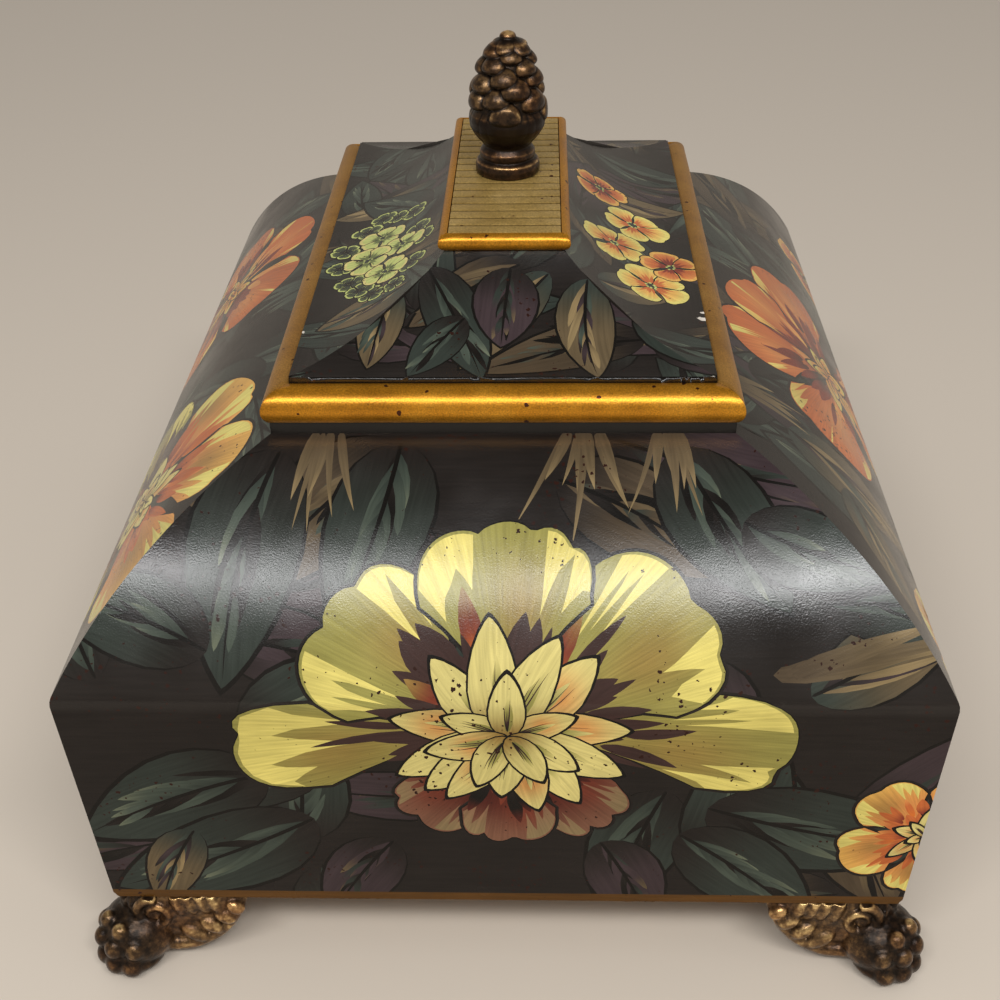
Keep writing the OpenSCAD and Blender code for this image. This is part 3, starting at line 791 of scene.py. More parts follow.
def shapeColours(shapes, corners, top, ground):
    # Each corner's colour: from the shape's root colour to its middle to its tip, by the share of its length,
    # with the blush laid over it by a bell curve round the blush's place.
    # brush: the corner's place along and across the stroke in millimetres, and the shape's number.
    blank = {"root": np.zeros(2), "turn": 0.0, "size": 60.0, "bend": 0.0, "polar": False,
             "colours": [ground, ground, ground], "blush": ("ground", 0.5, 0.0, 1.0, 0.0)}
    rows = shapes + [blank]
    which = top[:, None] * np.ones((1, 3), int)
    which = np.where(which < 0, len(shapes), which)
    roots, turns, sizes, bends, polar, shades = (
        np.array([row[key] for row in rows])[which]
        for key in ("root", "turn", "size", "bend", "polar", "colours"))
    away = corners - roots
    x = away[..., 0] * np.cos(turns) + away[..., 1] * np.sin(turns)
    y = -away[..., 0] * np.sin(turns) + away[..., 1] * np.cos(turns)
    y = y - bends * x * x / sizes
    r = np.hypot(x, y)
    x, y = np.where(polar, r, x), np.where(polar, np.arctan2(y, x) * sizes, y)
    u = np.clip(x / sizes, 0, 1)[..., None]
    first, second = smooth(0.02, 0.55, u), smooth(0.55, 1.0, u)
    colour = shades[..., 0, :] * (1 - first) + shades[..., 1, :] * first
    colour = colour * (1 - second) + shades[..., 2, :] * second
    tint = np.array([inks[row["blush"][0]] for row in rows])[which]
    place = np.array([row["blush"][1:] for row in rows])[which]
    away = np.hypot(x / sizes - place[..., 0], y / sizes - place[..., 1])
    soft = (place[..., 3] * np.exp(-(away / place[..., 2]) ** 2))[..., None]
    colour = colour * (1 - soft) + tint * soft
    return colour, np.stack([x, y, which * 7.31], -1)


def meshFrom(name, points, faces, material, body_, normals=None):
    # A mesh from whole arrays: faces is a list of arrays of equal-sided faces
    mesh = bpy.data.meshes.new(name)
    loops = np.concatenate([f.ravel() for f in faces]).astype(np.int32)
    sizes = np.concatenate([np.full(len(f), f.shape[1]) for f in faces])
    starts = np.concatenate([[0], np.cumsum(sizes)[:-1]]).astype(np.int32)
    mesh.vertices.add(len(points))
    mesh.vertices.foreach_set("co", (points * mm).astype(np.float32).ravel())
    mesh.loops.add(len(loops))
    mesh.loops.foreach_set("vertex_index", loops)
    mesh.polygons.add(len(sizes))
    mesh.polygons.foreach_set("loop_start", starts)
    mesh.update(calc_edges=True)
    mesh.polygons.foreach_set("use_smooth", np.ones(len(sizes), bool))
    mesh.validate()
    if normals is not None:
        mesh.normals_split_custom_set(normals)
    piece = newObject(name, mesh)
    putMaterial(piece, material)
    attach(piece, body_)
    return piece


def cornerNormals(points, faces):  # each face's own normal at its corners
    flat = []
    for f in faces:
        a, b, c = points[f[:, 0]], points[f[:, 1]], points[f[:, -1]]
        n = np.cross(b - a, c - a)
        n /= np.maximum(np.linalg.norm(n, axis=1, keepdims=True), 1e-12)
        flat.append(np.repeat(n, f.shape[1], 0))
    return flat


innerGrid = (12, 6)  # spacing of the points on a board's plain inner face, along it and up it


def paintedBoard(name, side, sheet, shapes, span, profile, inside, ground, material, body_):
    # One board: the painted outer face, the plain inner face behind it and the edges that join them
    points, triangles, top = sheet
    middle = points[triangles][:, :, 1].mean(1)
    chosen = (middle > span[0]) & (middle < span[1])
    triangles, top = triangles[chosen], top[chosen]
    used, flat = np.unique(triangles, return_inverse=True)
    points, triangles = points[used], flat.reshape(-1, 3)
    place, out = profile(points[:, 1])
    half = place[:, 0] + extraOf(side)
    s = np.clip(points[:, 0], -half, half)
    outer = onSide(side, s, place[:, 0], place[:, 1])
    turn = math.radians(sideTurn[side])
    normal = np.stack([out[:, 0] * math.sin(turn), -out[:, 0] * math.cos(turn), out[:, 1]], -1)
    # The rim: directed edges that only one triangle has
    directed = np.concatenate([triangles[:, [0, 1]], triangles[:, [1, 2]], triangles[:, [2, 0]]])
    key = directed.min(1) * len(points) + directed.max(1)
    values, index, counts = np.unique(key, return_index=True, return_counts=True)
    rim = directed[index[counts == 1]]
    # The inner face: the rim's points and a coarse grid, cut into triangles
    ring = np.unique(rim)
    number = {int(v): i for i, v in enumerate(ring)}
    lowS, highS = points[ring].min(0), points[ring].max(0)
    along, upward = innerGrid
    grid = np.meshgrid(np.arange(lowS[0], highS[0], along), np.arange(lowS[1], highS[1], upward))
    grid = np.stack(grid, -1).reshape(-1, 2)
    gridHalf = profile(grid[:, 1])[0][:, 0] + extraOf(side)
    within = (grid[:, 1] > lowS[1] + upward / 2) & (grid[:, 1] < highS[1] - upward / 2)
    grid = grid[(np.abs(grid[:, 0]) < gridHalf - along / 2) & within]
    spots = [Vector(p) for p in points[ring]] + [Vector(p) for p in grid]
    links = [(number[int(a)], number[int(b)]) for a, b in rim]
    back = delaunay_2d_cdt(spots, links, [], 1, 1e-9, True)
    backPoints = np.array([tuple(p) for p in back[0]])
    backFaces = np.array([f for f in back[2] if len(f) == 3])
    area = signedArea(backPoints, backFaces)
    backFaces[area > 0] = backFaces[area > 0][:, ::-1]
    homes = {source[0]: i for i, source in enumerate(back[3]) if source}
    innerPlace = inside(backPoints[:, 1])
    outHalf = profile(backPoints[:, 1])[0][:, 0] + extraOf(side)
    innerS = np.clip(backPoints[:, 0], -outHalf, outHalf) * ((innerPlace[:, 0] + extraOf(side)) / outHalf)
    inner = onSide(side, innerS, innerPlace[:, 0], innerPlace[:, 1])
    twin = np.array([homes[number[int(v)]] for v in ring]) + len(outer)
    twinOf = np.zeros(len(outer), int)
    twinOf[ring] = twin
    allPoints = np.concatenate([outer, inner])
    edgeQuads = np.stack([rim[:, 1], rim[:, 0], twinOf[rim[:, 0]], twinOf[rim[:, 1]]], -1)
    faces = [triangles, backFaces + len(outer), edgeQuads]
    normals = np.concatenate([normal[triangles].reshape(-1, 3)] + cornerNormals(allPoints, faces[1:]))
    piece = meshFrom(name, allPoints, faces, material, body_, normals)
    colour, brush = shapeColours(shapes, points[triangles], top, ground)
    rest = sum(f.size for f in faces[1:])
    colours = np.concatenate([colour.reshape(-1, 3), np.tile(ground, (rest, 1))])
    brushes = np.concatenate([brush.reshape(-1, 3), np.zeros((rest, 3))])
    addLayer(piece, "paint", np.c_[colours, np.ones(len(colours))], "FLOAT_COLOR", "CORNER", "color")
    addLayer(piece, "brush", brushes, "FLOAT_VECTOR", "CORNER", "vector")
    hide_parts(name.replace("painted_", ""))
    return piece


lacquerLook = {
    "streak": 0.9,  # spacing of the brush's hairs, in millimetres
    "fleck": 2.1,  # spacing of the flecks, in millimetres
    "grain": 0.45,  # grain of the satin coat, drawn coarser than it is so that it shows
    "fleckColour": "#2b130c",
    "roughness": 0.22,
}


def addFlecks(add, spot, under, spacing, push, colour, reach):
    # Cells a spacing apart, pushed out of shape by a fine noise; each has a dark dot whose radius comes from
    # the cell's own chance by reach, and is below zero in most
    uneven = add("TexNoise", {"Scale": push[0], "Detail": 2.0}, {"Vector": spot})
    moved = add("VectorMath", {"operation": "MULTIPLY_ADD", 1: (push[1],) * 3},
                {0: uneven.outputs["Color"], 2: spot})
    cells = add("TexVoronoi", {"Scale": 1000 / spacing}, {"Vector": moved})
    chance = add("SeparateColor", {}, {0: cells.outputs["Color"]})
    dot = add("Math", {"operation": "LESS_THAN"}, {0: cells, 1: reach(chance)})
    return add("Mix", {"data_type": "RGBA", 7: colour}, {0: dot, 6: under}).outputs[2]


def paintedLacquer():
    # Hand-painted wood under a satin lacquer: brushed colour, fly-speck flecks, a grainy broad sheen
    material, add = newMaterial("HandPaintedSatinLacquer")
    spot = add("TexCoord").outputs["Object"]
    painted = add("Attribute", {"attribute_name": "paint"})
    brush = add("Attribute", {"attribute_name": "brush"})
    hairs = add("Mapping", {"Scale": (0.06, 1 / lacquerLook["streak"], 1.0)},
                {"Vector": brush.outputs["Vector"]})
    streak = add("TexNoise", {"Scale": 1.0, "Detail": 3.0}, {"Vector": hairs})
    streakShade = add("MapRange", {"range": (0.3, 0.7, 0.82, 1.13)}, {"Value": streak})
    wash = add("TexNoise", {"Scale": 45.0, "Detail": 2.0}, {"Vector": spot})
    washShade = add("MapRange", {"range": (0.3, 0.7, 0.86, 1.12)}, {"Value": wash})
    shade = add("Math", {"operation": "MULTIPLY"}, {0: streakShade, 1: washShade})
    toned = add("VectorMath", {"operation": "SCALE"}, {0: painted, "Scale": shade})
    # Clusters: the flecks are large and close together in some places and missing in others
    cluster = add("TexNoise", {"Scale": 38.0, "Detail": 3.0}, {"Vector": spot})
    spread = add("MapRange", {"range": (0.4, 0.64, -0.08, 0.36)}, {"Value": cluster})
    flecked = addFlecks(add, spot, toned, lacquerLook["fleck"], (900.0, 0.0016), lacquerLook["fleckColour"],
                        lambda chance: add("Math", {"operation": "MULTIPLY"}, {0: chance, 1: spread}))
    grain = add("TexNoise", {"Scale": 1000 / lacquerLook["grain"], "Detail": 1.0}, {"Vector": spot})
    wobble = add("TexNoise", {"Scale": 60.0, "Detail": 2.0}, {"Vector": spot})
    height = add("Math", {"operation": "MULTIPLY_ADD", 1: 3.0}, {0: wobble, 2: grain})
    bump = add("Bump", {"Strength": 0.4, "Distance": 0.0001}, {"Height": height})
    satin = lacquerLook["roughness"]
    rough = add("MapRange", {"range": (0.3, 0.7, satin - 0.05, satin + 0.07)}, {"Value": wash})
    place = add("SeparateXYZ", {}, {0: spot})
    ridge = body["ridgeZ"] * mm
    polish = add("MapRange", {"range": (ridge - 0.004, ridge + 0.003, 0.13, 0.5)},
                 {"Value": place.outputs[2]})
    shader = add("BsdfPrincipled", {}, {
        "Base Color": flecked, "Roughness": rough, "Normal": bump, "Specular IOR Level": polish})
    add("OutputMaterial", {}, {"Surface": shader})
    return material


paintedFinish = paintedLacquer()

painted = {
    "box": {
        "seed": 20,
        "painters": {"front": paintFront, "right": paintRight, "back": paintBack, "left": paintLeft},
        "half": body["base"],
        "edge": (4.6, "band"),  # height and colour of the band along the foot
        "profile": (bodyProfile, bodyInside),
        "lines": [ridgeLine],  # creases across the sheet
        "boards": {"painted_wall_": (0, ridgeLine), "painted_shoulder_": (ridgeLine, sideLength)},
        "step": 3.2,  # spacing of the points between the outlines
    },
    "lid": {
        "seed": 60,
        "painters": {side: paintCove(side) for side in sides},
        "half": lid["half"],
        "edge": (coveLine, "ink"),
        "profile": (lidProfile, lidInside),
        "lines": [coveLine, coveLength - lid["ledge"]],
        "boards": {"painted_cove_": (0, coveLength)},
        "step": 2.4,
    },
}


def buildPainted(part):
    # Each side's painting, cut as one sheet from its foot to its top and shared out to its boards
    plan = painted[part]
    profile, inside = plan["profile"]
    for number, side in enumerate(sides):
        rng = np.random.default_rng(plan["seed"] + number)
        shapes = plan["painters"][side](rng)
        half = plan["half"] + extraOf(side) + 20  # past both ends of the side
        high, colour = plan["edge"]
        edge = np.array([(-half, -1), (half, -1), (half, high), (-half, high)], float)
        addShape(shapes, (0, 0), 0.0, edge, (colour,) * 3, 0, 400)

        def halfAt(t):
            return float(profile(np.array([t]))[0][0, 0]) + extraOf(side)

        length = max(span[1] for span in plan["boards"].values())
        sheet = layPaint(shapes, halfAt, 0.0, length, plan["lines"], plan["step"], rng)
        for name, span in plan["boards"].items():
            paintedBoard(name + side, side, sheet, shapes, span, profile, inside, inks["ground"],
                         paintedFinish, part)
        print("painted", part, side, len(shapes), "shapes,", len(sheet[1]), "triangles")


buildPainted("box")
buildPainted("lid")

# Mouldings: a profile carried along each side and mitred at both ends


def roundedProfile(corners, radii, steps=5):
    # Goes round a polygon anticlockwise and puts an arc of the given radius in each corner
    corners = np.array(corners, float)
    ahead = np.roll(corners, -1, 0) - corners
    ahead /= np.linalg.norm(ahead, axis=1, keepdims=True)
    behind = np.roll(ahead, 1, 0)
    points = []
    for corner, come, go, radius in zip(corners, behind, ahead, radii):
        turn = math.atan2(come[0] * go[1] - come[1] * go[0], come @ go)
        cut = radius * math.tan(abs(turn) / 2)
        share = np.linspace(0, 1, steps + 1 if radius else 1)[:, None]
        first, last = corner - come * cut, corner + go * cut
        points.append((1 - share) ** 2 * first + 2 * share * (1 - share) * corner + share ** 2 * last)
    return np.concatenate(points)


def closedRings(points, rows, around):
    # Faces between rings of points, with a fan to the second-last point below and the last one above
    index = np.arange(rows * around).reshape(rows, around)
    after = np.roll(index, -1, 1)
    quads = np.stack([index[:-1], after[:-1], after[1:], index[1:]], -1).reshape(-1, 4)
    low, high = rows * around, rows * around + 1
    first = np.stack([after[0], index[0], np.full(around, low)], -1)
    last = np.stack([index[-1], after[-1], np.full(around, high)], -1)
    return points, quads, np.concatenate([first, last])


def rail(name, side, profile, material, body_, spacing=4.0, ease=0.25, wave=0.0):
    # The profile's points at each place along the side; the ends lie on the mitre and are eased back a little
    half = profile[:, 0] + extraOf(side)
    middle = profile.mean(0)
    inner = profile[:, 0].min() + extraOf(side)
    share = np.linspace(-1, 1, max(4, int(2 * inner / spacing)) + 1)
    share = np.concatenate([[-1], [-1 + ease / inner], share[1:-1], [1 - ease / inner], [1]])
    shrink = np.ones(len(share))
    shrink[[0, -1]] = 1 - ease / np.linalg.norm(profile - middle, axis=1).max()
    ring = middle + (profile - middle)[None] * shrink[:, None, None]
    s = share[:, None] * half[None]
    swell = wave * np.sin(s * 0.11 + len(name)) * np.sin(s * 0.037 + 2)
    points = onSide(side, s, ring[..., 0] + swell, ring[..., 1])
    ends = onSide(side, np.array([share[0], share[-1]]) * (middle[0] + extraOf(side)),
                  np.full(2, middle[0]), np.full(2, middle[1]))
    points, quads, caps = closedRings(np.concatenate([points.reshape(-1, 3), ends]), len(share), len(profile))
    faces = [np.roll(quads[:, ::-1], 1, 1), caps[:, ::-1]]  # the profile runs the other way round
    piece = meshFrom(name, points, faces, material, body_)
    piece.data.set_sharp_from_angle(angle=math.radians(50))
    return piece


def wornGilt(name, base, dark, bright, metallic, roughness, fleckSize, grain):
    # Gilt paint over a red-brown ground: warm metal grain, dark flecks, and darker where the mesh marks the
    # plate's grooves
    material, add = newMaterial(name)
    spot = add("TexCoord").outputs["Object"]
    sparkle = add("TexNoise", {"Scale": 1000 / grain, "Detail": 1.5}, {"Vector": spot})
    cloud = add("TexNoise", {"Scale": 60.0, "Detail": 4.0, "Roughness": 0.6}, {"Vector": spot})
    stops = [(0.25, dark), (0.5, base), (0.85, bright)]
    tone = add("ValToRGB", {"stops": stops}, {"Fac": cloud})
    glint = add("MapRange", {"range": (0.25, 0.75, 0.66, 1.3)}, {"Value": sparkle})
    lit = add("VectorMath", {"operation": "SCALE"}, {0: tone, "Scale": glint})
    rare = {"range": (0.55, 1.0, -0.05, 0.22)}
    flecked = addFlecks(add, spot, lit, fleckSize, (800.0, 0.0014), "#4a2410",
                        lambda chance: add("MapRange", rare, {"Value": chance}))
    # darker brown where the attribute marks the bottoms of the plate's grooves
    soil = add("Attribute", {"attribute_name": "soil"})
    grooved = add("Mix", {"data_type": "RGBA", 7: "#2a1c0e"}, {0: soil.outputs["Fac"], 6: flecked})
    bump = add("Bump", {"Strength": 0.35, "Distance": 0.0001}, {"Height": sparkle})
    rough = add("MapRange", {"range": (0.3, 0.7, roughness - 0.04, roughness + 0.06)}, {"Value": cloud})
    shader = add("BsdfPrincipled", {"Metallic": metallic}, {
        "Base Color": grooved.outputs[2], "Roughness": rough, "Normal": bump})
    add("OutputMaterial", {}, {"Surface": shader})
    return material


giltFinish = wornGilt("RubbedGiltPaint", "#c6861f", "#ad7118", "#d79a30", 0.7, 0.34, 4.2, 0.5)
# The long sides' bead gets a duller, browner copy of the gilt: painted shade on the sides that the light from
# the front reaches less
sideShadedGiltFinish = wornGilt("SoiledGiltPaint", "#ad7c38", "#94672c", "#bf914a", 0.62, 0.38, 4.2, 0.5)
paleGiltFinish = wornGilt("PaleStrawGilt", "#a98b4e", "#94773f", "#bda066", 0.35, 0.42, 3.2, 0.6)


def cloudedFinish(name, noise, stops, settings, bump=None, rough=None, stretch=None):
    # One noise gives the colour by a ramp, and the relief or the roughness by its height
    material, add = newMaterial(name)
    spot = add("TexCoord").outputs["Object"]
    spot = add("Mapping", {"Scale": stretch}, {"Vector": spot}) if stretch else spot
    cloud = add("TexNoise", noise, {"Vector": spot})
    links = {"Base Color": add("ValToRGB", {"stops": stops}, {"Fac": cloud})}
    if bump:
        links["Normal"] = add("Bump", {"Strength": bump[0], "Distance": bump[1]}, {"Height": cloud})
    if rough:
        links["Roughness"] = add("MapRange", {"range": (0.3, 0.7, *rough)}, {"Value": cloud})
    add("OutputMaterial", {}, {"Surface": add("BsdfPrincipled", settings, links)})
    return material


# Sprayed black lacquer: deep, glossy, with faint ripples and a few pale scuffs
blackFinish = cloudedFinish(
    "GlossBlackLacquer", {"Scale": 90.0, "Detail": 4.0},
    ((0.35, "#090706"), (0.66, "#100d0b"), (0.82, "#1e1814")),
    {"Roughness": 0.22, "Specular IOR Level": 0.35}, bump=(0.2, 0.0002))
bead = {
    "radius": 6.0,
    "reach": 8.1,  # how far the nose stands out past the lid board
    "lift": 3.8,  # height of the nose's centre above the underside
    "back": 0.5,  # cut at the upper back corner
    "wave": 0.05,  # unevenness of the gilt ground along the rail
}


def beadProfile():
    # A round nose of three quarters of a circle, with a flat top and back against the lid board
    low = beadBox[0][2]
    inside = lid["half"]
    centre = np.array([inside + bead["reach"] - bead["radius"], low + bead["lift"]])
    start = -math.asin(min(1, bead["lift"] / bead["radius"]))
    angle = np.linspace(start, math.pi / 2, 22)
    nose = centre + onCircle(angle, bead["radius"])
    top = centre[1] + bead["radius"]
    back = [(inside + bead["back"], top), (inside, top - bead["back"])]
    return np.concatenate([[(inside, low)], nose, back])


def buildMouldings():
    inner = neckBox[0][0]
    neck = roundedProfile([(inner, neckBox[0][2]), (body["neck"], neckBox[0][2]),
                           (body["neck"], body["neckTopZ"]), (inner, body["neckTopZ"])], (0.3, 0.3, 0.8, 0.8))
    nose = beadProfile()
    half = (smallBeadBox[1][2] - smallBeadBox[0][2]) / 2
    centre = np.array([smallBeadBox[1][0] - half, smallBeadBox[0][2] + half])
    angle = np.linspace(-math.pi / 2, math.pi / 2, 17)
    small = centre + onCircle(angle, half)
    back = smallBeadBox[0][0]
    if centre[0] > back + 0.05:
        small = np.concatenate([small, [(back, small[-1][1]), (back, small[0][1])]])
    for side in sides:
        # the left and right beads take the darker copy of the gilt, which is painted shade
        finish = giltFinish if side in ("front", "back") else sideShadedGiltFinish
        made = rail("neck_rail_" + side, side, neck, blackFinish, "box")
        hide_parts("neck_" + side)
        made = rail("gilt_bead_" + side, side, nose, finish, "lid", 3.0, 0.3, bead["wave"])
        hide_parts("bead_" + side)
        made = rail("gilt_small_bead_" + side, side, small, giltFinish, "lid", 3.0)
        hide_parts("crown_bead_" + side)
    print("mouldings built")


buildMouldings()

plate = {"reeds": 18, "groove": 0.7, "depth": 0.6, "crown": 0.06, "ease": 0.35}


def buildPlate():
    # Height over the depth: flat grooves between reeds that swell by the sine of the way across a reed
    low, high = plateBox
    pitch = (high[1] - low[1]) / plate["reeds"]
    cut = plate["groove"] / 2 / pitch
    across = np.concatenate([[cut], np.linspace(cut, 1 - cut, 11), [1 - cut]])
    rise = np.concatenate([[0.0], plate["depth"] - plate["crown"]
                           + plate["crown"] * np.sin(math.pi * np.linspace(0, 1, 11)), [0.0]])
    rise[[1, 11]] -= plate["ease"] * 0.4
    y = np.concatenate([low[1] + (i + across) * pitch for i in range(plate["reeds"])])
    z = high[2] - plate["depth"] + np.tile(rise, plate["reeds"])
    y[0], y[-1] = low[1], high[1]
    z[0], z[-1] = high[2] - plate["depth"], high[2] - plate["depth"]
    half = high[0]
    x = np.concatenate([[-half, -half + 0.15, -half + 0.4], np.linspace(-half + 1, half - 1, 15),
                        [half - 0.4, half - 0.15, half]])
    drop = np.zeros(len(x))
    drop[[0, -1]], drop[[1, -2]] = 0.35, 0.1
    gx, gy = np.meshgrid(x, y, indexing="ij")
    gz = np.maximum(z[None] - drop[:, None], high[2] - plate["depth"] - 0.3)
    top = np.stack([gx, gy, gz], -1)
    bottom = top.copy()
    bottom[..., 2] = low[2]
    piece = solidGrid("reeded_gilt_plate", top, bottom, paleGiltFinish, "lid",
                      "reeded_plate", 35)
    # the lower parts of the grooves are marked for a darker gilt
    deep = (gz < high[2] - plate["depth"] * 0.6).ravel()
    addLayer(piece, "soil", np.concatenate([deep, deep]))
    print("plate built")


def solidGrid(name, top, bottom, material, body_, node, angle):
    # A closed slab from two grids of points: the upper face, the lower face and the four edges
    rows, columns = top.shape[:2]
    count = rows * columns
    index = np.arange(count).reshape(rows, columns)
    upper = np.stack([index[:-1, :-1], index[1:, :-1], index[1:, 1:], index[:-1, 1:]], -1).reshape(-1, 4)
    lower = upper[:, ::-1] + count
    rim = np.concatenate([index[:, 0], index[-1, 1:], index[::-1, -1][1:], index[0, ::-1][1:-1]])
    after = np.roll(rim, -1)
    edge = np.stack([after, rim, rim + count, after + count], -1)
    piece = meshFrom(name, np.concatenate([top.reshape(-1, 3), bottom.reshape(-1, 3)]), [upper, lower, edge],
                     material, body_)
    piece.data.set_sharp_from_angle(angle=math.radians(angle))
    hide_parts(node)
    return piece


buildPlate()
rubRings = 6  # rings of neighbours that the wear on the castings looks at


def convexity(mesh):
    # How far each vertex stands out from the mean of its neighbours, spread over a few rings of neighbours
    count = len(mesh.vertices)
    co, normal = readAll(mesh.vertices, "co"), readAll(mesh.vertices, "normal")
    a, b = readAll(mesh.edges, "vertices", 2, np.int32).T
    both, other = np.concatenate([a, b]), np.concatenate([b, a])
    share = 1 / np.maximum(np.bincount(both, minlength=count), 1)
    mean = co.copy()
    for _ in range(rubRings):
        mean = np.stack([np.bincount(both, mean[other, i], count) * share for i in range(3)], -1)
    return ((co - mean) * normal).sum(1) / mm


def addRub(piece, low, high, upward, bias):
    # Wear where the surface stands out, with a painted highlight laid on it: more on faces that look up, less
    # on faces that look down
    value = smooth(low, high, convexity(piece.data))
    facing = readAll(piece.data.vertices, "normal")[:, 2]
    # painted highlight: the upward share brightens each vertex by how far its face looks up
    addLayer(piece, "rub", value * (1 - upward + upward * smooth(-0.5, 0.6, facing)) + bias)


def antiqueBronze():
    # Cast zinc with a dark brown bronze wash, rubbed back to gold and copper where it stands out, and lighter
    # on faces that look up as painted highlight
    material, add = newMaterial("RubbedAntiqueBronzeCasting")
    spot = add("TexCoord").outputs["Object"]
    rub = add("Attribute", {"attribute_name": "rub"})
    cloud = add("TexNoise", {"Scale": 420.0, "Detail": 5.0, "Roughness": 0.7}, {"Vector": spot})
    broad = add("TexNoise", {"Scale": 70.0, "Detail": 2.0}, {"Vector": spot})
    uneven = add("MapRange", {"range": (0.3, 0.7, -0.35, 0.3)}, {"Value": cloud})
    # the wear attribute also holds a painted highlight on faces that look up
    wornAndLit = add("Math", {"operation": "ADD", "use_clamp": True}, {0: rub.outputs["Fac"], 1: uneven})
    stops = ((0.0, "#20170f"), (0.36, "#463423"), (0.7, "#846642"), (1.0, "#dab77c"))
    metal = add("ValToRGB", {"stops": stops}, {"Fac": wornAndLit})
    copper = add("MapRange", {"range": (0.45, 0.65, 0.0, 0.45)}, {"Value": broad})
    warm = add("Mix", {"data_type": "RGBA", "blend_type": "MULTIPLY", 7: "#d09a7c"}, {0: copper, 6: metal})
    rough = add("MapRange", {"range": (0.0, 1.0, 0.36, 0.25)}, {"Value": wornAndLit})
    bump = add("Bump", {"Strength": 0.6, "Distance": 0.0003}, {"Height": cloud})
    shader = add("BsdfPrincipled", {"Metallic": 0.65}, {
        "Base Color": warm.outputs[2], "Roughness": rough, "Normal": bump})
    add("OutputMaterial", {}, {"Surface": shader})
    return material


bronzeFinish = antiqueBronze()

finial = {
    "around": 288,
    "rows": 240,
    "tall": 46.9,  # height of the core's outline, stretched to the frame's finial
    "scales": 30,
    "scaleRun": (21.0, 43.4),  # heights of the first and the last knuckle
    "knuckle": (5.3, 3.7, 3.6, 0.62),  # half width, half height, how far it stands out, bluntness
    "leaves": 9,  # ribs round the cup, in two rows
    "leaf": (3.8, 9.0, 0.9, 0.6),
    "levelOff": (12.5, 1.2),  # radius where the knuckles start to level off, and how much they may add
    "lean": 0.6,  # how far the tip stands to the right
}
# Radius of the turned base and the cone under the scales, by height above the plate
finialCore = np.array([
    (0, 10.4), (0.5, 10.9), (2.3, 11.0), (4.2, 10.6), (4.9, 9.6), (5.3, 9.1), (6.2, 9.4), (7.6, 9.35),
    (8.5, 8.7), (9.5, 8.0), (11.0, 8.8), (13.5, 10.4), (16.0, 11.8), (18.5, 12.3), (20.5, 11.9),
    (22.5, 10.6), (26.0, 9.8), (31.0, 9.0), (37.0, 7.1), (41.0, 5.2), (43.4, 3.5), (44.4, 2.8),
    (45.4, 2.7), (46.3, 2.0), (finial["tall"], 0.0)])


def bumps(a, h, r, spots, wide, tall, height, blunt):
    # The highest of the knuckles at each point: height times a power of one minus the square of the distance
    # from its middle, in its own half widths, steeper below the middle than above
    best = np.zeros_like(a)
    for angle, up, share in spots:
        side = (np.mod(a - angle + math.pi, 2 * math.pi) - math.pi) * np.maximum(r, 2.5) / (wide * share)
        rise = (h - up) / (tall * share) + 0.25 * side ** 2
        rise = np.where(rise < 0, rise * 1.3, rise * 0.8)
        dome = np.clip(1 - side ** 2 - rise ** 2, 0, 1) ** blunt
        best = np.maximum(best, height * share * dome)
    return best


def buildFinial():
    low = finialBox[0][2]
    a = np.linspace(0, 2 * math.pi, finial["around"], endpoint=False)[None]
    share = np.linspace(0, 1, finial["rows"])[:, None]
    top = finialBox[1][2] - finialBox[0][2]
    h = share * finial["tall"]
    core = np.interp(h, finialCore[:, 0], finialCore[:, 1])
    for _ in range(2):
        core[1:-1] = (core[:-2] + 2 * core[1:-1] + core[2:]) / 4
    a, h, r = np.broadcast_arrays(a, h, core)
    rng = np.random.default_rng(5)
    knuckles, leaves = [], []
    first, last = finial["scaleRun"]
    for i in range(finial["scales"]):  # a golden angle from one to the next, closer towards the tip
        step = i / finial["scales"]
        up = first + (last - first) * (1 - (1 - step) ** 1.15)
        size = (1.06 - 0.38 * step) * rng.uniform(0.88, 1.12)
        around = i * math.pi * (3 - math.sqrt(5)) + rng.uniform(-0.14, 0.14)
        knuckles.append((around, up + rng.uniform(-0.7, 0.7), size))
    for i in range(finial["leaves"]):
        for shift, up, size in ((0, 19.0, 1.0), (0.5, 16.0, 0.85)):
            around = 2 * math.pi * (i + shift) / finial["leaves"] + 0.2
            leaves.append((around, up + rng.uniform(-0.8, 0.8), size))
    inUpper = smooth(16.0, 19.0, h)
    lumps = bumps(a, h, r, knuckles, *finial["knuckle"]) * inUpper * smooth(45.0, 43.0, h)
    ribs = bumps(a, h, r, leaves, *finial["leaf"]) * smooth(9.6, 12.5, h)
    radius = np.maximum(r + np.maximum(lumps, ribs) * smooth(0, 2.0, r), 0)
    widest, more = finial["levelOff"]  # the outermost knuckles level off by an exponential
    past = np.maximum(radius - widest, 0)
    radius = np.minimum(radius, widest) + more * (1 - np.exp(-past / more))
    x = radius * np.cos(a) + finial["lean"] * smooth(10, 47, h)
    points = np.stack([x, radius * np.sin(a), low + h * top / finial["tall"]], -1)[:-1]
    rows, columns = points.shape[:2]
    ends = [[0, 0, low], [finial["lean"], 0, low + top]]
    points, quads, caps = closedRings(np.concatenate([points.reshape(-1, 3), ends]), rows, columns)
    piece = meshFrom("cast_cone_finial", points, [quads, caps], bronzeFinish, "lid")
    up = np.concatenate([h[:-1].ravel(), [0.0, finial["tall"]]])
    cup = smooth(8.5, 11.0, up) * smooth(22.0, 18.0, up)  # the cup below the knuckles stays dark
    addRub(piece, -0.06, 0.13, 0.8, -0.4 * cup)
    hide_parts("finial")
    print("finial built:", len(quads) * 2, "triangles")


buildFinial()

